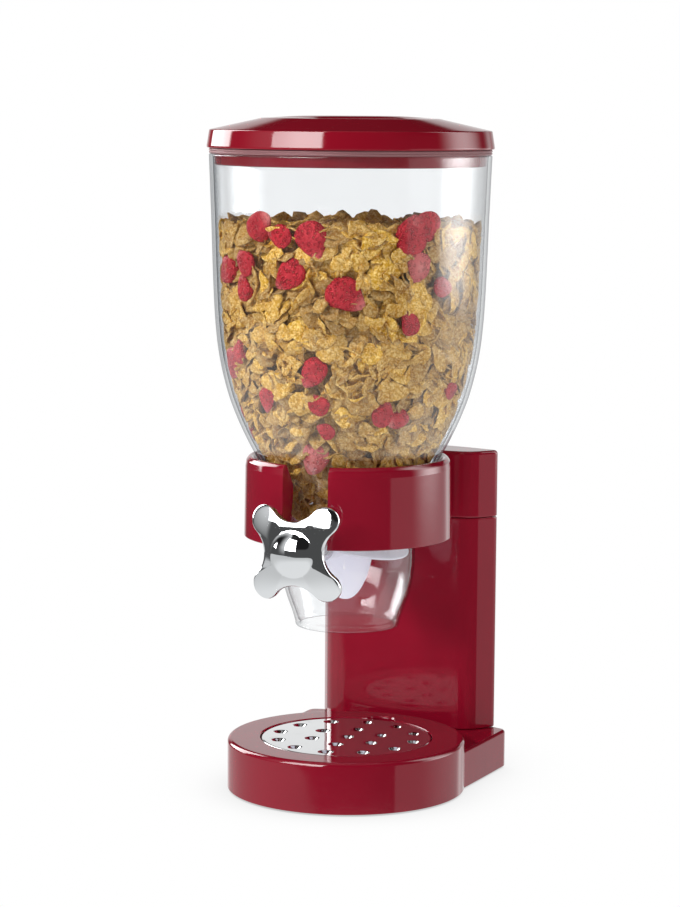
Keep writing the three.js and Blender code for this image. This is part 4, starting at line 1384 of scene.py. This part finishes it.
def top_flakes(fine, plain):
    """Three layers lying on top of the heap, from below."""
    flakes = []
    limit = float(r_in(FILL_TOP)) - 5
    for drop, pitch, shapes in ((-9.0, 11.5, plain), (-6.0, 10.5, fine), (-3.4, 10.5, fine)):
        for grid_x in np.arange(-limit, limit, pitch):
            for grid_y in np.arange(-limit, limit, pitch):
                x, y = grid_x + RNG.uniform(-4, 4), grid_y + RNG.uniform(-4, 4)
                if math.hypot(x, y) > limit - 1:
                    continue
                lump = (2.2 * math.sin(x * 0.09 + 1.3) * math.cos(y * 0.08 + 0.4)
                        + 1.2 * math.sin(y * 0.15))
                normal = np.array([0, 0, 1.0]) + RNG.normal(0, 0.17, 3)
                centre = np.array([x, y, FILL_TOP + drop + lump + RNG.uniform(-1.2, 1.2)])
                size = RNG.uniform(5.4, 8.6)
                tone = random_tone(0.55, 0.24)
                flakes.append(place_flake(shapes, centre, normal, size, tone))
    return flakes


def cereal():
    fine = [flake_shape(4, 18) for _ in range(36)]
    plain = [flake_shape(3, 13) for _ in range(18)]
    flakes = side_flakes(fine, plain) + top_flakes(fine, plain)
    objects = []
    for start in range(0, len(flakes), FLAKES_PER_OBJECT):
        verts, faces, tones, count = [], [], [], 0
        for points, flake_faces, tone in flakes[start:start + FLAKES_PER_OBJECT]:
            verts.append(points)
            faces.extend(tuple(i + count for i in face) for face in flake_faces)
            tones.append(np.full(len(points), tone))
            count += len(points)
        name = "cereal_flakes_%d" % (len(objects) + 1)
        objects.append(toned_object(name, verts, faces, tones, FLAKE))
    return objects


def cereal_heap():
    """The heap behind the outer flakes, as one lumpy body, painted dark as the shade in the gaps
    between them.
    """
    profile = [(0, 189.5), (12, 188.6), (22, 184.5)]
    profile += [(max(24.0, r_in(z) - 9.5), z) for z in np.arange(186.0, FILL_TOP - 6, 6.0)]
    profile += [(r_in(FILL_TOP) - 18, FILL_TOP - 5), (30, FILL_TOP - 4.5), (0, FILL_TOP - 4.5)]

    def lump(x, y, z):
        s = (1.6 * math.sin(x * 0.31 + z * 0.23) * math.cos(y * 0.29 - z * 0.17)
             + 1.0 * math.sin(z * 0.5 + x * 0.2 + y * 0.3))
        r = math.hypot(x, y)
        if r < 1e-6:
            return (x, y, z)
        k = 1 + s / max(r, 8.0)
        return (x * k, y * k, z + (0.8 * s if z > 200 else max(0.0, 0.5 * s)))

    ob = lathe(densify(profile, 3.0), "cereal_heap", FLAKE, seg=120, displace=lump, sharp=180)
    co = np.array([v.co for v in ob.data.vertices]) / MM
    inside = contain(co, margin=3.0) * MM
    ob.data.vertices.foreach_set("co", inside.astype(np.float32).ravel())
    # painted shade: a low tone makes the whole heap dark, like the shade behind the outer flakes
    tone = ob.data.attributes.new("tone", "FLOAT", "POINT")
    tone.data.foreach_set("value", np.full(len(co), 0.12, np.float32))
    return ob


def berry_point(lat, lon, row, phase):
    """Point of a unit berry: tapered along Y, flattened, wobbly and dimpled."""
    x, y, z = math.cos(lat) * math.cos(lon), math.sin(lat), math.cos(lat) * math.sin(lon)
    taper = 1.0 - 0.34 * y - 0.10 * y * y
    wobble = (1 + 0.07 * math.sin(3 * lon + phase[0] + 2 * y)
              + 0.05 * math.sin(5 * lon + phase[1]) + 0.05 * math.cos(4 * y + phase[2] + lon))
    dimple = (1 - 0.035 * (0.5 + 0.5 * math.cos(9 * lon + (row % 2) * pi))
              * (0.5 + 0.5 * math.cos(2 * pi * row / 2.6)))
    q = taper * wobble * dimple
    return (x * q * 0.86, y * 1.12, z * q * 0.52), x, y


def strawberries():
    around, rows = 26, 16
    verts, faces, tones = [], [], []
    count = 0
    for index, (angle, height, size) in enumerate(BERRIES):
        size = size * 0.94
        a = math.radians(angle)
        r = float(r_in(height)) - (size * 0.40 + 0.4)
        outwards = np.array([math.cos(a), math.sin(a), 0.0])
        tilted = outwards + RNG.normal(0, 0.12, 3)
        rotation = axes_for(tilted, RNG.uniform(0, 2 * pi))
        phase = RNG.uniform(0, 6.28, 5)
        points, pale = [], []
        for j in range(rows + 1):
            for i in range(around):
                point, x, y = berry_point(-pi / 2 + pi * j / rows, 2 * pi * i / around, j, phase)
                points.append(point)
                if index in PALE_BERRIES:
                    pale.append(0.45 + 0.4 * math.exp(-(x * x + y * y) / 0.12))
                else:
                    tip = max(0.0, min(1.0, (y - 0.45) * 1.6))
                    pale.append(tip * (0.4 + 0.6 * (index % 3 == 0)))
        placed = (np.array(points) * size) @ rotation.T + outwards * r + np.array([0, 0, height])
        verts.append(contain(placed, margin=0.75))
        tones.append(np.array(pale))
        starts = [count + j * around for j in range(rows + 1)]
        faces += ring_faces([range(start, start + around) for start in starts])
        count += len(points)
    return toned_object("strawberry_pieces", verts, faces, tones, BERRY, weld=True)


for flakes in cereal():
    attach(flakes, "canister")
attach(cereal_heap(), "canister")
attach(strawberries(), "canister")


# ---------------------------------------------------------------- floor
def floor_material():
    """White to the camera with soft contact shade; pale grey to every other ray."""
    g = Graph(bpy.data.materials.new("pale_floor"))
    occlusion = g.add("ShaderNodeAmbientOcclusion", {"Distance": 0.09}, samples=12)["AO"]
    shade_ramp = g.ramp(occlusion, (0.0, 0.50), (0.45, 0.86), (0.9, 1.0))
    seen = g.add("ShaderNodeEmission", {"Color": shade_ramp})
    glow = g.add("ShaderNodeEmission", {"Color": (0.55, 0.55, 0.56, 1)})
    matt = g.add("ShaderNodeBsdfDiffuse", {"Color": (0.5, 0.5, 0.5, 1)})
    unseen = g.add("ShaderNodeAddShader", {0: glow, 1: matt})
    camera_ray = g.add("ShaderNodeLightPath")["Is Camera Ray"]
    return g.finish(g.mix_shader(camera_ray, unseen, seen))


def floor():
    bm = bmesh.new()
    bmesh.ops.create_grid(bm, x_segments=8, y_segments=8, size=30.0)
    me = bpy.data.meshes.new("floor")
    bm.to_mesh(me)
    bm.free()
    ob = link_object("floor", me)
    ob.location = (0, 0, FLOOR_Z * MM)
    me.materials.append(floor_material())
    ob.visible_glossy = False
    return ob


floor()


# ---------------------------------------------------------------- studio light
def studio_world():
    """Procedural surround: soft panels in reflections, an even glow for matt surfaces.

    Each panel spans a range of turn (0 to the front, + to the right) and of elevation, both in
    degrees, and is multiplied by its brightness.
    """
    world = bpy.data.worlds.new("studio")
    bpy.context.scene.world = world
    g = Graph(world, "ShaderNodeOutputWorld")
    step, plateau = g.step, g.plateau
    direction = g.add("ShaderNodeSeparateXYZ", {0: g.coordinates("Generated")})
    turn = g.math("ARCTAN2", direction[0], direction[1] * -1.0) * (180 / pi)
    elevation = g.math("ARCSINE", direction[2]) * (180 / pi)

    # later mirror bounces see the left front panel dimmed
    bounce = g.add("ShaderNodeLightPath")["Glossy Depth"]
    first_bounce = 1.0 - g.math("GREATER_THAN", bounce, 1.5) * 0.95

    # dim surround, brighter overhead
    surround = (0.08 - step(elevation, 12.0, 18.0) * 0.065) + step(elevation, 55.0, 80.0) * 0.45

    # soft panel at the left front, dimmer to its left
    area = plateau(turn, -42.5, -40.8, 0.8, 2.6) * plateau(elevation, 7.2, 8.6, 44.0, 52.0)
    left_front = area * ((9.5 + step(turn, -42.0, -15.0) * 3.5) * first_bounce)

    # narrow strip at the far left
    area = plateau(turn, -126.0, -121.0, -91.0, -87.0) * plateau(elevation, 1.2, 2.6, 40.0, 50.0)
    far_left = area * 9.0

    # grey wall between them
    area = plateau(turn, -78.0, -44.0, -43.0, -38.0) * step(elevation, -12.0, 20.0)
    grey_wall = area * 0.72

    # soft panel at the right, fading downwards
    brightness = ((0.25 + step(elevation, -10.0, 4.0) * 4.2)
                  + plateau(elevation, -9.0, -4.0, 2.0, 7.0) * 3.0)
    right = plateau(turn, 98.0, 122.0, 124.0, 156.0) * brightness
    right = right * plateau(elevation, -22.0, -14.0, 45.0, 60.0)

    # low dim glow from the right front round to the rear
    brightness = 0.62 + step(turn, 110.0, 150.0) * 0.10
    low_glow = plateau(turn, 71.0, 74.0, 168.0, 178.0) * (
        plateau(elevation, -17.0, -14.2, -2.0, 5.0) * brightness)

    # white sweep behind
    behind = g.math("MAXIMUM", step(turn, 158.0, 172.0), 1.0 - step(turn, -142.0, -128.0))
    sweep_light = behind * ((1.0 - step(elevation, 14.8, 18.0)) * 0.84)

    # white table below, its edge lower at the left
    edge = elevation - step(turn, -48.0, 4.0) * -4.6
    table = 1.0 - step(edge, -10.8, -10.0)
    brightness = 0.58 + step(elevation, -16.0, -34.0) * 0.24
    table_light = table * (brightness * (1.0 - behind * 0.9))

    glossy = surround
    for light in (left_front, far_left, grey_wall, right, low_glow, sweep_light, table_light):
        glossy = glossy + light
    matt = 0.24 + step(elevation, -10.0, 90.0) * 0.12

    path = g.add("ShaderNodeLightPath")
    mirror_ray = g.math("MAXIMUM", path["Is Glossy Ray"], path["Is Singular Ray"])
    white = (1.0, 1.0, 1.0)
    colour = g.mix(path["Is Camera Ray"], g.mix(mirror_ray, matt, glossy), white)
    g.finish(g.add("ShaderNodeBackground", {"Color": colour}))
    world.cycles.sampling_method = "NONE"


def soft_light(name, place, aim, size, power):
    """Disc light, in metres and watts, that shows in no reflection."""
    light = bpy.data.lights.new(name, "AREA")
    light.shape, light.size, light.energy = "DISK", size, power
    light.spread = pi
    ob = link_object(name, light)
    ob.location = place
    ob.rotation_euler = (Vector(aim) - Vector(place)).to_track_quat("-Z", "Y").to_euler()
    ob.visible_glossy = False
    ob.visible_camera = False
    ob.visible_transmission = False


studio_world()
soft_light("key_light", place=(-1.45, -1.6, 1.35), aim=(0, 0, 0.22), size=0.40, power=44.0)
soft_light("fill_light", place=(2.0, -1.0, 0.9), aim=(0, 0, 0.2), size=1.2, power=17.0)

# ---------------------------------------------------------------- camera
YAW = math.radians(24.7)        # to the right of the front
TILT = math.radians(7.2)        # downwards
ROLL = math.radians(0.42)
DISTANCE = 1613.0               # from the canister's axis, level
EYE_HEIGHT = 402.7
SIDE_SHIFT = 4.9                # to the camera's left
LENS, SENSOR = 110.14333, 36.0


def camera():
    level = np.array([math.cos(YAW), math.sin(YAW), 0.0])
    forward = np.array([-math.sin(YAW) * math.cos(TILT), math.cos(YAW) * math.cos(TILT),
                        -math.sin(TILT)])
    upright = np.cross(level, forward)
    right = math.cos(ROLL) * level + math.sin(ROLL) * upright
    up = -math.sin(ROLL) * level + math.cos(ROLL) * upright
    place = np.array([math.sin(YAW) * DISTANCE, -math.cos(YAW) * DISTANCE, EYE_HEIGHT])
    place = (place - SIDE_SHIFT * level) * MM
    data = bpy.data.cameras.new("camera")
    data.sensor_width = SENSOR
    data.lens = LENS
    data.clip_start, data.clip_end = 0.05, 200.0
    ob = link_object("camera", data)
    rows = [(right[i], up[i], -forward[i], place[i]) for i in range(3)]
    ob.matrix_world = Matrix((*rows, (0, 0, 0, 1)))
    return ob


scene = bpy.context.scene
scene.camera = camera()
scene.view_settings.view_transform = "Standard"
scene.view_settings.look = "None"
scene.cycles.use_denoising = True
scene.cycles.max_bounces = 14
scene.cycles.glossy_bounces = 6
scene.cycles.transparent_max_bounces = 24
scene.cycles.diffuse_bounces = 4
scene.cycles.sample_clamp_indirect = 8.0
scene.cycles.seed = 7
